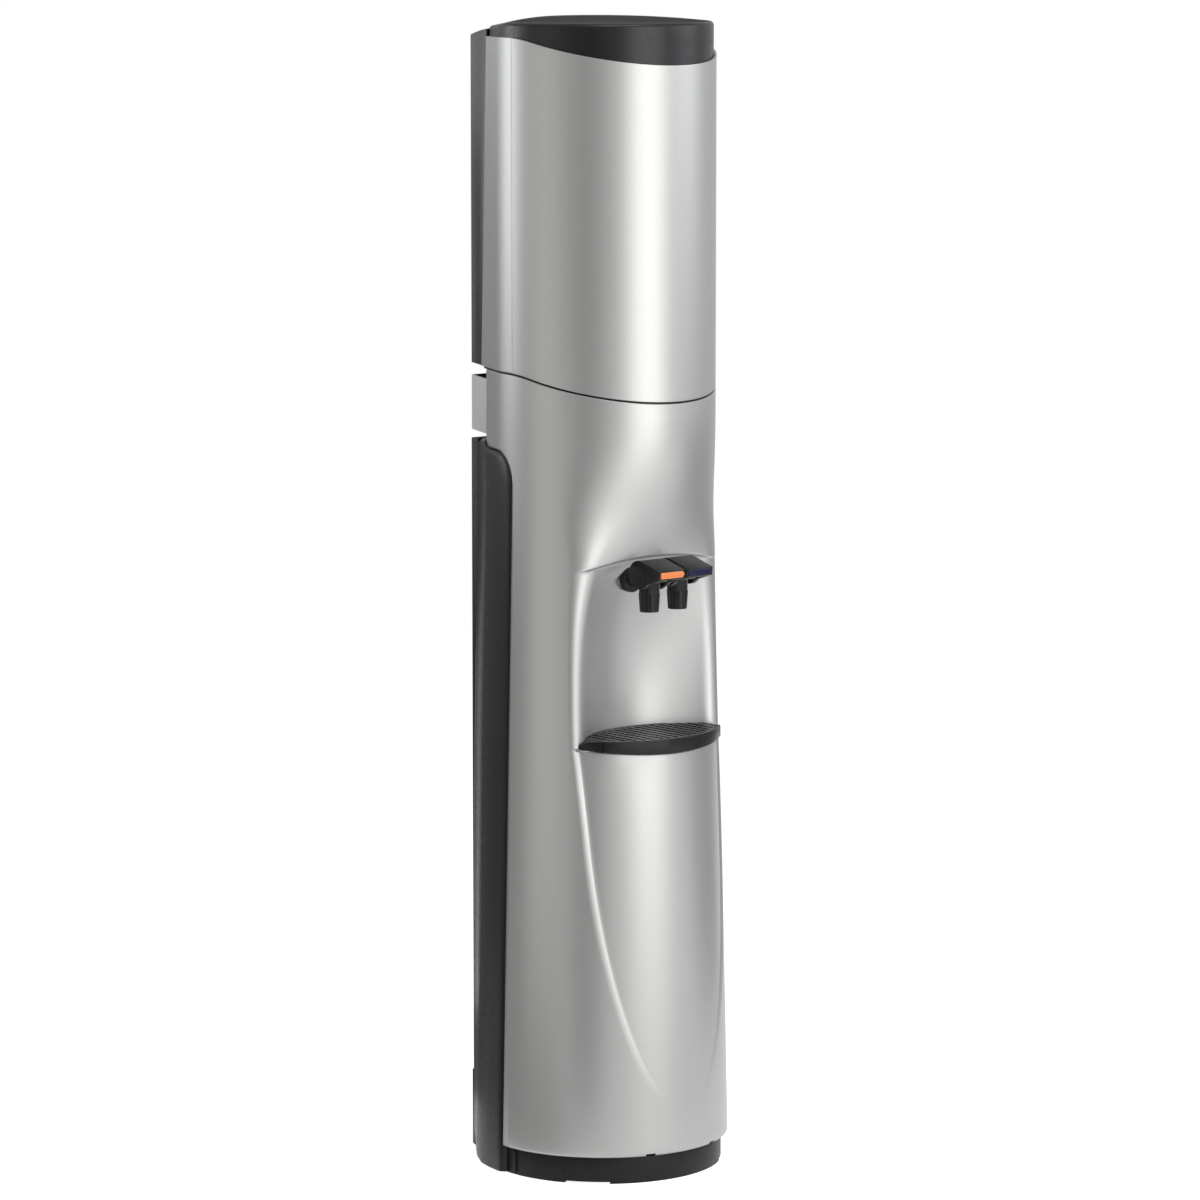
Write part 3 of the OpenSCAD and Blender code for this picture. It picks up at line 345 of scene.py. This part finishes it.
def front_rows():
    """All half sections of the front shell, from its lower edge to the collar."""
    rows = []
    for turn in np.linspace(-pi / 2, 0, 7):
        rows.append(apron_row(skirt_z + hem + hem * sin(turn), hem_in=hem * (1 - cos(turn))))
    leaf_tip = leaf_top - leaf_h
    rows += [apron_row(z) for z in np.linspace(skirt_z + hem, leaf_tip, 7)[1:]]
    edge_round = 0.0025
    leaf_rise = bay_z - edge_round - leaf_tip
    rows += [apron_row(leaf_tip + leaf_rise * s ** 1.6) for s in np.linspace(0, 1, 54)[1:]]
    for turn in np.linspace(0, pi / 2, 5)[1:]:
        rows.append(apron_row(bay_z - edge_round * (1 - sin(turn)),
                              edge_in=edge_round * (1 - cos(turn))))
    ledge_front = rows[-1][0][1]
    for share in (0.15, 0.4, 0.7, 0.93, 1.0):
        middle = ledge_front + (bay_wall_y(bay_z) - ledge_front) * share
        rows.append(bay_row(bay_z + 0.001 * share, middle, lip_cut))
    ceiling_z = brow_z - brow_round * sin(chin_tilt) - ceiling_round - 0.004
    drop_from = 0.66
    for z in np.linspace(bay_z + 0.004, ceiling_z, 36):
        drop = brow_drop * ease((z - drop_from) / (ceiling_z - drop_from))
        rows.append(bay_row(z, bay_wall_y(z), lip_cut, drop))
    for turn in np.linspace(0, pi / 2, 7)[1:]:
        rows.append(bay_row(ceiling_z + ceiling_round * sin(turn),
                            bay_wall_y(ceiling_z) - ceiling_round * (1 - cos(turn)), lip_cut, brow_drop))
    for turn in np.linspace(pi / 2, chin_tilt, 7):
        rows.append(bay_row(brow_z + brow_round * (sin(chin_tilt) - sin(turn)),
                            -chin_y + brow_round * (cos(chin_tilt) - cos(turn)), lip_cut, brow_drop))
    low_chin = np.linspace(brow_z, edge_turn_z, 22)[1:]
    high_chin = np.linspace(edge_turn_z, chin_end_z, 21)[1:]
    for z in (*low_chin, *high_chin):
        share = (z - brow_z) / (chin_end_z - brow_z)
        cut = lip_cut + lip_fade * ease(share * 2.4)
        rows.append(bay_row(z, chin_middle(z), cut, brow_drop * (1 - ease(share * 2))))
    return [lift_ledge(row) for row in rows]


def lay_grid(name, points):
    """A grid whose vertices are moved to their places, row by row."""
    rows, columns = points.shape[:2]
    bpy.ops.mesh.primitive_grid_add(x_subdivisions=columns - 1, y_subdivisions=rows - 1)
    piece = bpy.context.object
    piece.name = name
    piece.data.vertices.foreach_set("co", points.reshape(-1).astype(np.float32))
    piece.data.update()
    return piece


def edit_all(piece):
    """Edit mode on one piece with all of it selected."""
    bpy.ops.object.select_all(action="DESELECT")
    piece.select_set(True)
    bpy.context.view_layer.objects.active = piece
    bpy.ops.object.mode_set(mode="EDIT")
    bpy.ops.mesh.select_all(action="SELECT")


def join_pieces(first, *others):
    """Join pieces into the first, with shared borders merged and degenerate faces dissolved."""
    bpy.ops.object.select_all(action="DESELECT")
    for piece in (first, *others):
        piece.select_set(True)
    bpy.context.view_layer.objects.active = first
    if others:
        bpy.ops.object.join()
    edit_all(first)
    bpy.ops.mesh.remove_doubles(threshold=2e-5)
    bpy.ops.mesh.dissolve_degenerate(threshold=1e-6)
    bpy.ops.object.mode_set(mode="OBJECT")


def apply_modifier(piece, kind, **settings):
    """Add a modifier and apply it."""
    bpy.ops.object.select_all(action="DESELECT")
    piece.select_set(True)
    bpy.context.view_layer.objects.active = piece
    modifier = piece.modifiers.new(kind.lower(), kind)
    for key, value in settings.items():
        setattr(modifier, key, value)
    bpy.ops.object.modifier_apply(modifier=modifier.name)


def round_edges(piece, width, segments=3, angle=40):
    """Round the sharp edges as a moulding tool does, and shade the piece smooth."""
    apply_modifier(piece, "BEVEL", width=width, segments=segments, limit_method="ANGLE",
                   angle_limit=radians(angle), harden_normals=False)
    bpy.ops.object.shade_smooth_by_angle(angle=radians(38))


def face_outwards(piece, inside):
    """Turn all faces of an open sheet away from a point inside it."""
    edit_all(piece)
    bpy.ops.mesh.normals_make_consistent(inside=False)
    bpy.ops.object.mode_set(mode="OBJECT")
    facing = sum((p.center - inside).dot(p.normal) * p.area for p in piece.data.polygons)
    if facing < 0:
        edit_all(piece)
        bpy.ops.mesh.flip_normals()
        bpy.ops.object.mode_set(mode="OBJECT")


def mirrored(half):
    """A whole row from its right half, left to right."""
    left = half[:0:-1] * np.array([-1, 1, 1])
    return np.concatenate([left, half])


def wing_points(rows):
    """The collar's wing behind the round front, over the curved edge of the rear shell."""
    low_turn = [edge_y + edge_turn_r * (1 - cos(a)) for a in np.linspace(0, pi / 2, 13)]
    high_turn = [collar_y - collar_turn_r * (1 - sin(a)) for a in np.linspace(0, pi / 2, 8)]
    sides = np.array(low_turn + [0.063, 0.074] + high_turn)
    centre = edge_y + edge_turn_r
    high_centre = collar_y - collar_turn_r
    low = edge_turn_z + np.sqrt(np.maximum(edge_turn_r ** 2 - np.maximum(centre - sides, 0) ** 2, 0))
    past = np.maximum(sides - high_centre, 0)
    low += collar_turn_r - np.sqrt(np.maximum(collar_turn_r ** 2 - past ** 2, 0))
    top = split_line(sides, split_z)
    heights = np.array([row[-1][2] for row in rows])
    share = (heights - edge_turn_z) / (split_line(edge_y, split_z) - edge_turn_z)
    points = np.zeros((len(rows), len(sides), 3))
    points[:, :, 1] = sides
    points[:, :, 2] = low + share[:, None] * (top - low)
    r = taper(points[:, :, 2])
    flat_from = -r * cos(side_turn)
    on_round = np.sqrt(np.maximum(r ** 2 - sides ** 2, 0))
    on_flat = (r + sides * cos(side_turn)) / sin(side_turn)
    points[:, :, 0] = np.where(sides < flat_from, on_round, on_flat)
    points[:, 0] = [row[-1] for row in rows]
    return points


shell_rows = front_rows()
collar_base = shell_rows[-1]
collar_top = split_line(collar_base[:, 1], split_z)
for share in (*np.linspace(0, 1, 11)[1:-1], 0.97, 1):
    lifted = collar_base.copy()
    lifted[:, 2] += share * (collar_top - collar_base[:, 2])
    shell_rows.append(lifted)
turn_row = np.argmin([abs(row[-1][2] - edge_turn_z) for row in shell_rows])
wing = wing_points(shell_rows[turn_row:])
front_shell = lay_grid("front_moulding", np.array([mirrored(row) for row in shell_rows]))
right_wing = lay_grid("right_wing", wing)
left_wing = lay_grid("left_wing", wing * np.array([-1, 1, 1]))
join_pieces(front_shell, right_wing, left_wing)
axis_point = bpy.context.object.location.copy()
axis_point.z = 0.5
face_outwards(front_shell, axis_point)
apply_modifier(front_shell, "SOLIDIFY", thickness=wall, offset=-1, use_even_offset=False)
round_edges(front_shell, 0.0008, segments=2, angle=60)
notch_turn = radians(19)
notch_size = (0.013, 0.028, 0.006)
for turn in (-notch_turn, notch_turn):
    place = (foot_r * sin(turn), -foot_r * cos(turn), skirt_z + 0.0005)
    bpy.ops.mesh.primitive_cube_add(size=1, location=place, rotation=(0, 0, turn), scale=notch_size)
    notch = bpy.context.object
    apply_modifier(front_shell, "BOOLEAN", operation="DIFFERENCE", object=notch)
    bpy.data.objects.remove(notch)
bpy.ops.object.shade_smooth_by_angle(angle=radians(38))
tap_x = 0.0235
tap_z = 0.760
boss_r = 0.015
boss_face_y = -0.0756
boss_back_y = bay_wall_y(tap_z - boss_r) + 0.004
for x in (-tap_x, tap_x):
    bpy.ops.mesh.primitive_cylinder_add(vertices=64, radius=boss_r, depth=boss_back_y - boss_face_y,
                                        location=(x, (boss_face_y + boss_back_y) / 2, tap_z),
                                        rotation=(pi / 2, 0, 0))
    bpy.ops.object.transform_apply(location=True, rotation=True, scale=True)
    boss = bpy.context.object
    round_edges(boss, 0.001, segments=2, angle=60)
    join_pieces(front_shell, boss)


def new_material(name):
    """A node material with its shader, and Object coordinates for its patterns."""
    material = bpy.data.materials.new(name)
    material.use_nodes = True
    tree = material.node_tree
    place = tree.nodes.new("ShaderNodeTexCoord").outputs["Object"]
    return material, tree, tree.nodes["Principled BSDF"], place


def grain(tree, place, scale, detail=2.0, stretch=(1, 1, 1)):
    """Fine noise at a scale in cells per metre, stretched along an axis where asked."""
    mapping = tree.nodes.new("ShaderNodeMapping")
    mapping.inputs["Scale"].default_value = stretch
    noise = tree.nodes.new("ShaderNodeTexNoise")
    noise.inputs["Scale"].default_value = scale
    noise.inputs["Detail"].default_value = detail
    tree.links.new(place, mapping.inputs["Vector"])
    tree.links.new(mapping.outputs["Vector"], noise.inputs["Vector"])
    return noise.outputs["Fac"]


def vary(tree, pattern, socket, low, high):
    """Let a shader value run between two limits with a pattern."""
    limits = tree.nodes.new("ShaderNodeMapRange")
    limits.inputs["From Min"].default_value = 0.3
    limits.inputs["From Max"].default_value = 0.7
    limits.inputs["To Min"].default_value = low
    limits.inputs["To Max"].default_value = high
    tree.links.new(pattern, limits.inputs["Value"])
    tree.links.new(limits.outputs["Result"], socket)


def vary_colour(tree, pattern, socket, dark, light):
    """Let a shader colour run between two colours with a pattern."""
    ramp = tree.nodes.new("ShaderNodeValToRGB")
    ramp.color_ramp.elements[0].position = 0.3
    ramp.color_ramp.elements[1].position = 0.7
    ramp.color_ramp.elements[0].color = (*dark, 1)
    ramp.color_ramp.elements[1].color = (*light, 1)
    tree.links.new(pattern, ramp.inputs["Fac"])
    tree.links.new(ramp.outputs["Color"], socket)


def emboss(tree, pattern, shader, depth, strength=1.0):
    """Raise the surface by a pattern, to a depth in metres."""
    bump = tree.nodes.new("ShaderNodeBump")
    bump.inputs["Distance"].default_value = depth
    bump.inputs["Strength"].default_value = strength
    tree.links.new(pattern, bump.inputs["Height"])
    tree.links.new(bump.outputs["Normal"], shader.inputs["Normal"])


def silver_paint():
    """Satin metallic paint: fine flakes in the colour and the gloss, and a faint ripple."""
    material, tree, shader, place = new_material("silver_paint")
    flakes = grain(tree, place, 3800, 1.0)
    vary_colour(tree, flakes, shader.inputs["Base Color"], (0.368, 0.371, 0.367), (0.428, 0.431, 0.427))
    vary(tree, flakes, shader.inputs["Roughness"], 0.37, 0.43)
    shader.inputs["Metallic"].default_value = 0.76
    emboss(tree, grain(tree, place, 420, 2.0), shader, 0.00002, 0.35)
    return material


def fit(piece, material, body, slot, *nodes):
    """Give a piece its finish, the body that it moves with and the nodes that it stands for."""
    piece.data.materials.clear()
    piece.data.materials.append(material)
    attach(piece, body)
    if nodes:
        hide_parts(*nodes)


silver = silver_paint()
fit(front_shell, silver, "cabinet", "silver", "front_shell")


# Rear shells: two black mouldings that carry the taper round to the rear frame. Grained plastic,
# 2.5 mm thick, with rolled edges along the silver shell and under the collar.
seam = 0.0006
rear_low_z = 0.0015
rear_lift = 0.021
rear_bulge = 0.004
rear_spread = 0.0098
spread_z = 0.78
spread_soft = 0.03
spread_len = 0.2
corner_gap = 0.002
rear_top_z = 0.925
rear_peak_z = 0.934
frame_y = 0.146
roll = 0.010
rear_wall = 0.0025
roll_steps = roll * (1 - np.cos(np.linspace(0, pi / 2, 7)))
rear_end_y = frame_y - seam


def rear_top(y):
    """Height of the rear shell's upper edge, a seam under the collar's curved edge."""
    turn_r = edge_turn_r - seam
    before = np.maximum(edge_y + edge_turn_r - y, 0)
    low = edge_turn_z + np.sqrt(np.maximum(turn_r ** 2 - before ** 2, 0))
    rise_r = collar_turn_r + seam
    rise = np.sqrt(np.maximum(rise_r ** 2 - np.maximum(y - collar_y + collar_turn_r, 0) ** 2, 0))
    fall = np.clip((y - collar_y) / (frame_y - collar_y), 0, 1) * (rear_peak_z - rear_top_z)
    return np.where(y > collar_y + seam, rear_peak_z - fall, low + rise_r - rise)


def roll_in(y, z):
    """How far the surface turns in, by its distance from the front and upper edge."""
    turn_r = edge_turn_r - seam
    across = edge_y + edge_turn_r - y
    up = z - edge_turn_z
    on_turn = (across > 0) & (up > 0)
    inside = np.where(on_turn, turn_r - np.hypot(across, up), np.minimum(turn_r - across, turn_r - up))
    inside = np.where(y > collar_y - collar_turn_r, rear_top(y) - z, inside)
    short = roll - np.clip(inside, 0, roll)
    return roll - np.sqrt(roll ** 2 - short ** 2)


def rear_points():
    """Grid of the right rear shell, from its front edge to the frame's corner."""
    front = edge_y + seam + roll_steps
    turn = edge_y + edge_turn_r * (1 - np.cos(np.linspace(0.65, pi / 2, 9)))
    rise = collar_y + seam - collar_turn_r * (1 - np.sin(np.linspace(0, pi / 2, 7)))
    back = np.linspace(0.104, rear_end_y, 9)
    sides = np.concatenate([front, turn, [0.068], rise, [collar_y + 2 * seam], back])
    top = rear_top(sides)
    foot = rear_low_z + rear_lift * ease((sides - 0.06) / 0.1)
    below = np.concatenate([np.linspace(1, 0, 40)[:-1, None] * (top - foot - roll) + roll,
                            roll_steps[::-1, None] + np.zeros_like(sides)])
    y = np.broadcast_to(sides, below.shape)
    z = top - below
    r = taper(z)
    fallen = spread_soft * np.logaddexp(0, (spread_z - z) / spread_soft)
    corner_x = rear_half + corner_gap + rear_spread * (1 - np.exp(-fallen / spread_len))
    corner_far = np.hypot(corner_x, rear_end_y)
    corner_turn = pi / 2 + np.arctan2(rear_end_y, corner_x) - np.arccos(r / corner_far)
    on_flat = y > -r * np.cos(corner_turn)
    straight = (r + y * np.cos(corner_turn)) / np.sin(corner_turn)
    x = np.where(on_flat, straight, np.sqrt(np.maximum(r ** 2 - y ** 2, 0)))
    turn_here = np.where(on_flat, corner_turn, np.arctan2(x, -y))
    flat_share = np.clip((y - edge_y - 0.02) / (rear_end_y - edge_y - 0.02), 0, 1)
    depth = roll_in(y, z) - rear_bulge * np.sin(pi * flat_share) ** 2
    return np.stack([x - depth * np.sin(turn_here), y + depth * np.cos(turn_here), z], axis=2)


def grained(name, colour, gloss, pitch=1300, depth=0.00006, shine=0.12):
    """Plastic, foam, rubber or enamel with an even fine grain and slightly clouded gloss."""
    material, tree, shader, place = new_material(name)
    lighter = tuple(min(1.35 * c, c + 0.02) for c in colour)
    vary_colour(tree, grain(tree, place, 60, 3.0), shader.inputs["Base Color"], colour, lighter)
    vary(tree, grain(tree, place, 180, 2.0), shader.inputs["Roughness"], gloss - 0.05, gloss + 0.05)
    shader.inputs["Specular IOR Level"].default_value = shine
    emboss(tree, grain(tree, place, pitch, 2.0), shader, depth, 0.5)
    return material


rear_black = grained("rear_black", (0.0043, 0.0039, 0.0054), 0.4, shine=0.3)
for side, name in ((-1, "left"), (1, "right")):
    rear_shell = lay_grid("rear_moulding_" + name, rear_points() * np.array([side, 1, 1]))
    join_pieces(rear_shell)
    face_outwards(rear_shell, axis_point)
    apply_modifier(rear_shell, "SOLIDIFY", thickness=rear_wall, offset=-1)
    round_edges(rear_shell, 0.0005, segments=2, angle=60)
    fit(rear_shell, rear_black, "cabinet", "black", "rear_shell_" + name)


# Bottle cover: the silver sleeve over the bottle, level behind and sloped in front at both ends,
# with a fine upright line on each side and an inner ledge that carries the lid.
cover_z = 1.437
cover_low = 1.0208
cover_y = 0.118
cover_lean = radians(3.2)
line_w = 0.0004
line_d = 0.00025
lid_skirt = 0.010
ledge_w = 0.005
ledge_t = 0.003


def cover_edge(z):
    """Depth of the cover's leaning rear edge at a height."""
    return cover_y - (z - split_z) * tan(cover_lean)


def side_plan(inset, rear, line=line_d, arc_steps=60, side_steps=10):
    """Half plan of the cover from its front to its rear edge: round, with a groove, then straight."""
    r = waist_r - inset
    angles = np.linspace(0, side_turn, arc_steps + 1)
    line_at = acos(-edge_y / waist_r)
    near = np.array([-2, -1.1, -0.8, 0.8, 1.1, 2]) * line_w / waist_r
    kept = angles[abs(angles - line_at) > 4 * line_w / waist_r]
    angles = np.concatenate([kept, line_at + near])
    depth = np.concatenate([np.zeros(len(kept)), line * np.array([0, 0, 1, 1, 0, 0])])
    order = np.argsort(angles)
    round_part = join_row(angles[order], r - depth[order])
    start = join_row(np.array([side_turn]), r)[0]
    way = np.array([cos(side_turn), sin(side_turn)])
    steps = np.linspace(0, (rear - start[1]) / way[1], side_steps + 1)[1:, None]
    return np.concatenate([round_part, start + steps * way])


def sleeve_points(low, high, rows):
    """Grid of the cover's wall between its two sloped edges, mirrored."""
    points = []
    for share in (0, 0.004, *np.linspace(0, 1, rows)[1:-1], 0.996, 1):
        plan = side_plan(0, cover_edge(low + share * (high - low)))
        bottom = split_line(plan[:, 1], low)
        top = split_line(plan[:, 1], high)
        points.append(mirrored(np.column_stack([plan, bottom + share * (top - bottom)])))
    return np.array(points)


cover = lay_grid("cover_sleeve", sleeve_points(cover_low, cover_z, 30))
axis_point.z = 1.2
face_outwards(cover, axis_point)
apply_modifier(cover, "SOLIDIFY", thickness=wall, offset=-1)
ledge_top = cover_z - lid_skirt - 0.0003
ledge_insets = (wall - 0.0005, wall + ledge_w)
ledge_plans = [side_plan(inset, cover_edge(cover_z), line=0) for inset in ledge_insets]
ledge_rows = [mirrored(np.column_stack([p, split_line(p[:, 1], ledge_top)])) for p in ledge_plans]
ledge = lay_grid("lid_ledge", np.array(ledge_rows))
apply_modifier(ledge, "SOLIDIFY", thickness=ledge_t, offset=0)
for vertex in ledge.data.vertices:
    vertex.co.z -= ledge_t / 2
join_pieces(cover, ledge)
round_edges(cover, 0.0011, segments=3, angle=60)
fit(cover, silver, "cover", "silver", "bottle_cover")


# Lid: a black domed plug that drops into the cover and rests on its ledge. Grained plastic with
# a rounded rim, hollow underneath.
lid_z = 1.463
dome_r = 1.3
lid_inset = 0.0035
lid_rear = cover_edge(lid_z) - seam
lid_corner = 0.003
lid_round = 0.005
lid_wall = 0.0025
lid_flatter = 0.75
lid_fall = 0.006


def closed_plan(inset, rear, corner, line=0):
    """Half of a closed plan, from the middle of the front to the middle of the flat rear."""
    side = side_plan(inset, rear, line, arc_steps=48, side_steps=6)
    way = np.array([cos(side_turn), sin(side_turn)])
    cut = corner * tan((pi - side_turn) / 2)
    knee = side[-1]
    side = side[(side - knee) @ way < -cut - 1e-5]
    start = knee - cut * way
    centre = start + corner * np.array([-way[1], way[0]])
    turned = centre + join_row(np.linspace(side_turn, pi, 8), corner)
    flat = np.linspace(turned[-1], [0, rear], 8)[1:]
    return np.concatenate([side, turned, flat])


def dome_height(plan):
    """Height of the lid's dome over plan points; it is flatter behind the axis, but for its corners."""
    depth = np.where(plan[:, 1] > 0, lid_flatter * plan[:, 1], plan[:, 1])
    corner = ease((plan[:, 1] - 0.02) / 0.07) * np.minimum(np.abs(plan[:, 0]) / 0.1, 1) ** 2
    return lid_z - dome_r + np.sqrt(dome_r ** 2 - plan[:, 0] ** 2 - depth ** 2) - lid_fall * corner


def closed_row(plan, heights):
    """A whole closed row from its right half."""
    half = np.column_stack([plan, heights])
    return np.concatenate([half, half[-2::-1] * np.array([-1, 1, 1])])


lid_plan = closed_plan(lid_inset, lid_rear, lid_corner)
lid_rows = []
skirt_foot = split_line(lid_plan[:, 1], cover_z - lid_skirt)
skirt_top = dome_height(lid_plan) - lid_round
lined_plan = closed_plan(lid_inset, lid_rear, lid_corner, line_d)
for share in np.linspace(0, 1, 7)[:-1]:
    lid_rows.append(closed_row(lined_plan, skirt_foot + share * (skirt_top - skirt_foot)))
for turn in np.linspace(0, pi / 2, 8):
    inwards = lid_round * (1 - cos(turn))
    rim = closed_plan(lid_inset + inwards, lid_rear - inwards, lid_corner)
    lid_rows.append(closed_row(rim, dome_height(rim) - lid_round * (1 - sin(turn))))
for share in np.linspace(1, 0, 16)[1:]:
    lid_rows.append(closed_row(rim * share, dome_height(rim * share)))
lid = lay_grid("lid_dome", np.array(lid_rows))
join_pieces(lid)
axis_point.z = 1.42
face_outwards(lid, axis_point)
apply_modifier(lid, "SOLIDIFY", thickness=lid_wall, offset=-1)
round_edges(lid, 0.0006, segments=2, angle=60)
lid_black = grained("lid_black", (0.0052, 0.0052, 0.0066), 0.34, 1300, 0.00002, 0.32)
fit(lid, lid_black, "lid", "black", "lid")


# Smaller mouldings, taken over at their built shape: each has its edges rounded as a tool would
# leave them and gets the finish of its own plastic. The base gets two ribs beside the front shell,
# and the tray tips are narrowed to noses.
def dressed(node, name, width, segments=2, angle=30):
    """A moulding with a node's shape and rounded edges."""
    mesh = frame["nodes"][node].data.copy()
    piece = bpy.data.objects.new(name, mesh)
    scene.collection.objects.link(piece)
    edit_all(piece)
    bpy.ops.mesh.remove_doubles(threshold=1e-5)
    bpy.ops.mesh.dissolve_limited(angle_limit=radians(1.5))
    bpy.ops.object.mode_set(mode="OBJECT")
    round_edges(piece, width, segments, angle)
    return piece


black = grained("black_grain", (0.0124, 0.0124, 0.0121), 0.45, shine=0.18)
tap_black = grained("tap_black", (0.0086, 0.0112, 0.0094), 0.32, 900, 0.00001, 0.19)
tray_black = grained("tray_black", (0.0055, 0.0055, 0.0068), 0.32, 1300, 0.00003, 0.24)
grille_black = grained("grille_black", (0.0066, 0.0066, 0.0068), 0.34, 1300, 0.00001, 0.17)
panel_black = grained("panel_black", (0.0097, 0.0097, 0.0124), 0.36, 1300, 0.00003, 0.6)
light_grey = grained("light_grey", (0.83, 0.83, 0.822), 0.5, shine=0.4)
catch_orange = grained("catch_orange", (0.86, 0.25, 0.062), 0.34, 900, 0.00001, 0.4)
tip_blue = grained("tip_blue", (0.0124, 0.011, 0.047), 0.34, 900, 0.00001, 0.15)
mouldings = [
    ("base_pan", "base_moulding", 0.0012, black, "cabinet", "black"),
    ("rear_frame", "rear_tray", 0.0010, black, "cabinet", "black"),
    ("collar_rear", "collar_block", 0.0015, light_grey, "cabinet", "grey"),
    ("cover_rear_panel", "cover_back", 0.0020, panel_black, "cover", "black"),
    ("tray_bezel", "tray_tips", 0.0030, tray_black, "cabinet", "black"),
    ("drip_tray", "tray_moulding", 0.0012, tray_black, "tray", "black"),
    ("drip_grille", "slotted_grille", 0.0006, grille_black, "grille", "black"),
    ("hot_tap_body", "hot_tap", 0.0008, tap_black, "cabinet", "tap_black"),
    ("cold_tap_body", "cold_tap", 0.0008, tap_black, "cabinet", "tap_black"),
    ("hot_nozzle", "hot_spout", 0.0003, tap_black, "cabinet", "tap_black"),
    ("cold_nozzle", "cold_spout", 0.0003, tap_black, "cabinet", "tap_black"),
    ("hot_lever", "hot_handle", 0.0010, tap_black, "hot_lever", "tap_black"),
    ("cold_lever", "cold_handle", 0.0010, tap_black, "cold_lever", "tap_black"),
    ("hot_catch", "orange_catch", 0.0005, catch_orange, "hot_catch", "orange"),
    ("cold_tip", "blue_tip", 0.0005, tip_blue, "cold_lever", "blue"),
]
tap_finishes = (tap_black, catch_orange, tip_blue)
for node, name, width, material, body, slot in mouldings:
    moulding = dressed(node, name, width)
    moulding.visible_glossy = material not in tap_finishes
    fit(moulding, material, body, slot, node)
rib_x = 0.151
rib_size = (0.004, 0.006, 0.029)
for side in (-1, 1):
    bpy.ops.mesh.primitive_cube_add(size=1, location=(rib_x * side, -0.002, 0.017), scale=rib_size)
    bpy.ops.object.transform_apply(location=True, rotation=True, scale=True)
    rib = bpy.context.object
    round_edges(rib, 0.0008)
    rib.data.materials.append(black)
    join_pieces(bpy.data.objects["base_moulding"], rib)
tip_from = 0.098
tip_mid_z = 0.5565
tip_len = 0.0235
tip_gap = 0.0006
tip_share = 0.73
for vertex in bpy.data.objects["tray_tips"].data.vertices:
    out = abs(vertex.co.x) - tip_from
    narrowed = 1 - 0.3 * (out / tip_len) ** 2 - 0.5 * (out / tip_len) ** 8
    vertex.co.x = copysign(tip_from + tip_gap + tip_share * out, vertex.co.x)
    vertex.co.z = tip_mid_z + (vertex.co.z - tip_mid_z) * narrowed


# Inner and rear pieces, shown at their built shape: tanks, tubes, the cooling circuit, screws and
# seals. Each gets the finish of its own stuff, from brushed steel to soft rubber.
def brushed_metal(name, colour, gloss, stretch):
    """Bare metal with fine scratches along one direction."""
    material, tree, shader, place = new_material(name)
    scratches = grain(tree, place, 900, 3.0, stretch)
    vary_colour(tree, scratches, shader.inputs["Base Color"], tuple(0.85 * c for c in colour), colour)
    vary(tree, scratches, shader.inputs["Roughness"], gloss - 0.06, gloss + 0.06)
    shader.inputs["Metallic"].default_value = 1.0
    emboss(tree, scratches, shader, 0.00002, 0.4)
    return material


def spangled_zinc():
    """Zinc-coated sheet with pale crystal patches."""
    material, tree, shader, place = new_material("galvanised")
    crystals = tree.nodes.new("ShaderNodeTexVoronoi")
    crystals.inputs["Scale"].default_value = 140
    tree.links.new(place, crystals.inputs["Vector"])
    patches = crystals.outputs["Distance"]
    vary_colour(tree, patches, shader.inputs["Base Color"], (0.42, 0.44, 0.45), (0.6, 0.62, 0.63))
    vary(tree, patches, shader.inputs["Roughness"], 0.38, 0.52)
    shader.inputs["Metallic"].default_value = 0.9
    return material


def soft_clear(name):
    """Milky tubing that lets some light through."""
    material = grained(name, (0.70, 0.73, 0.74), 0.35, 300, 0.00002)
    shader = material.node_tree.nodes["Principled BSDF"]
    shader.inputs["Transmission Weight"].default_value = 0.25
    return material


finishes = {
    "black": black,
    "tap_black": tap_black,
    "white": grained("white_moulding", (0.63, 0.63, 0.62), 0.42),
    "foam": grained("white_foam", (0.68, 0.68, 0.65), 0.85, 400, 0.0006),
    "silicone": soft_clear("silicone"),
    "rubber": grained("black_rubber", (0.012, 0.012, 0.012), 0.75),
    "enamel": grained("black_enamel", (0.008, 0.008, 0.009), 0.28, 240, 0.00003),
    "red": grained("red_moulding", (0.44, 0.013, 0.011), 0.32, 900, 0.00001),
    "steel": brushed_metal("steel", (0.52, 0.53, 0.54), 0.34, (1, 1, 12)),
    "copper": brushed_metal("copper", (0.72, 0.36, 0.20), 0.36, (1, 1, 8)),
    "galvanised": spangled_zinc(),
}
dressed_nodes = {"front_shell", "rear_shell_left", "rear_shell_right", "bottle_cover", "lid"}
dressed_nodes.update(row[0] for row in mouldings)
for part in frame["record"]["subparts"]:
    if part["node"] not in dressed_nodes:
        mesh = frame["nodes"][part["node"]].data
        mesh.materials.clear()
        mesh.materials.append(finishes[part["material_slot"]])
pin_mesh = frame["nodes"]["tap_pins"].data
pin_mesh.materials.clear()
pin_mesh.materials.append(finishes["enamel"])
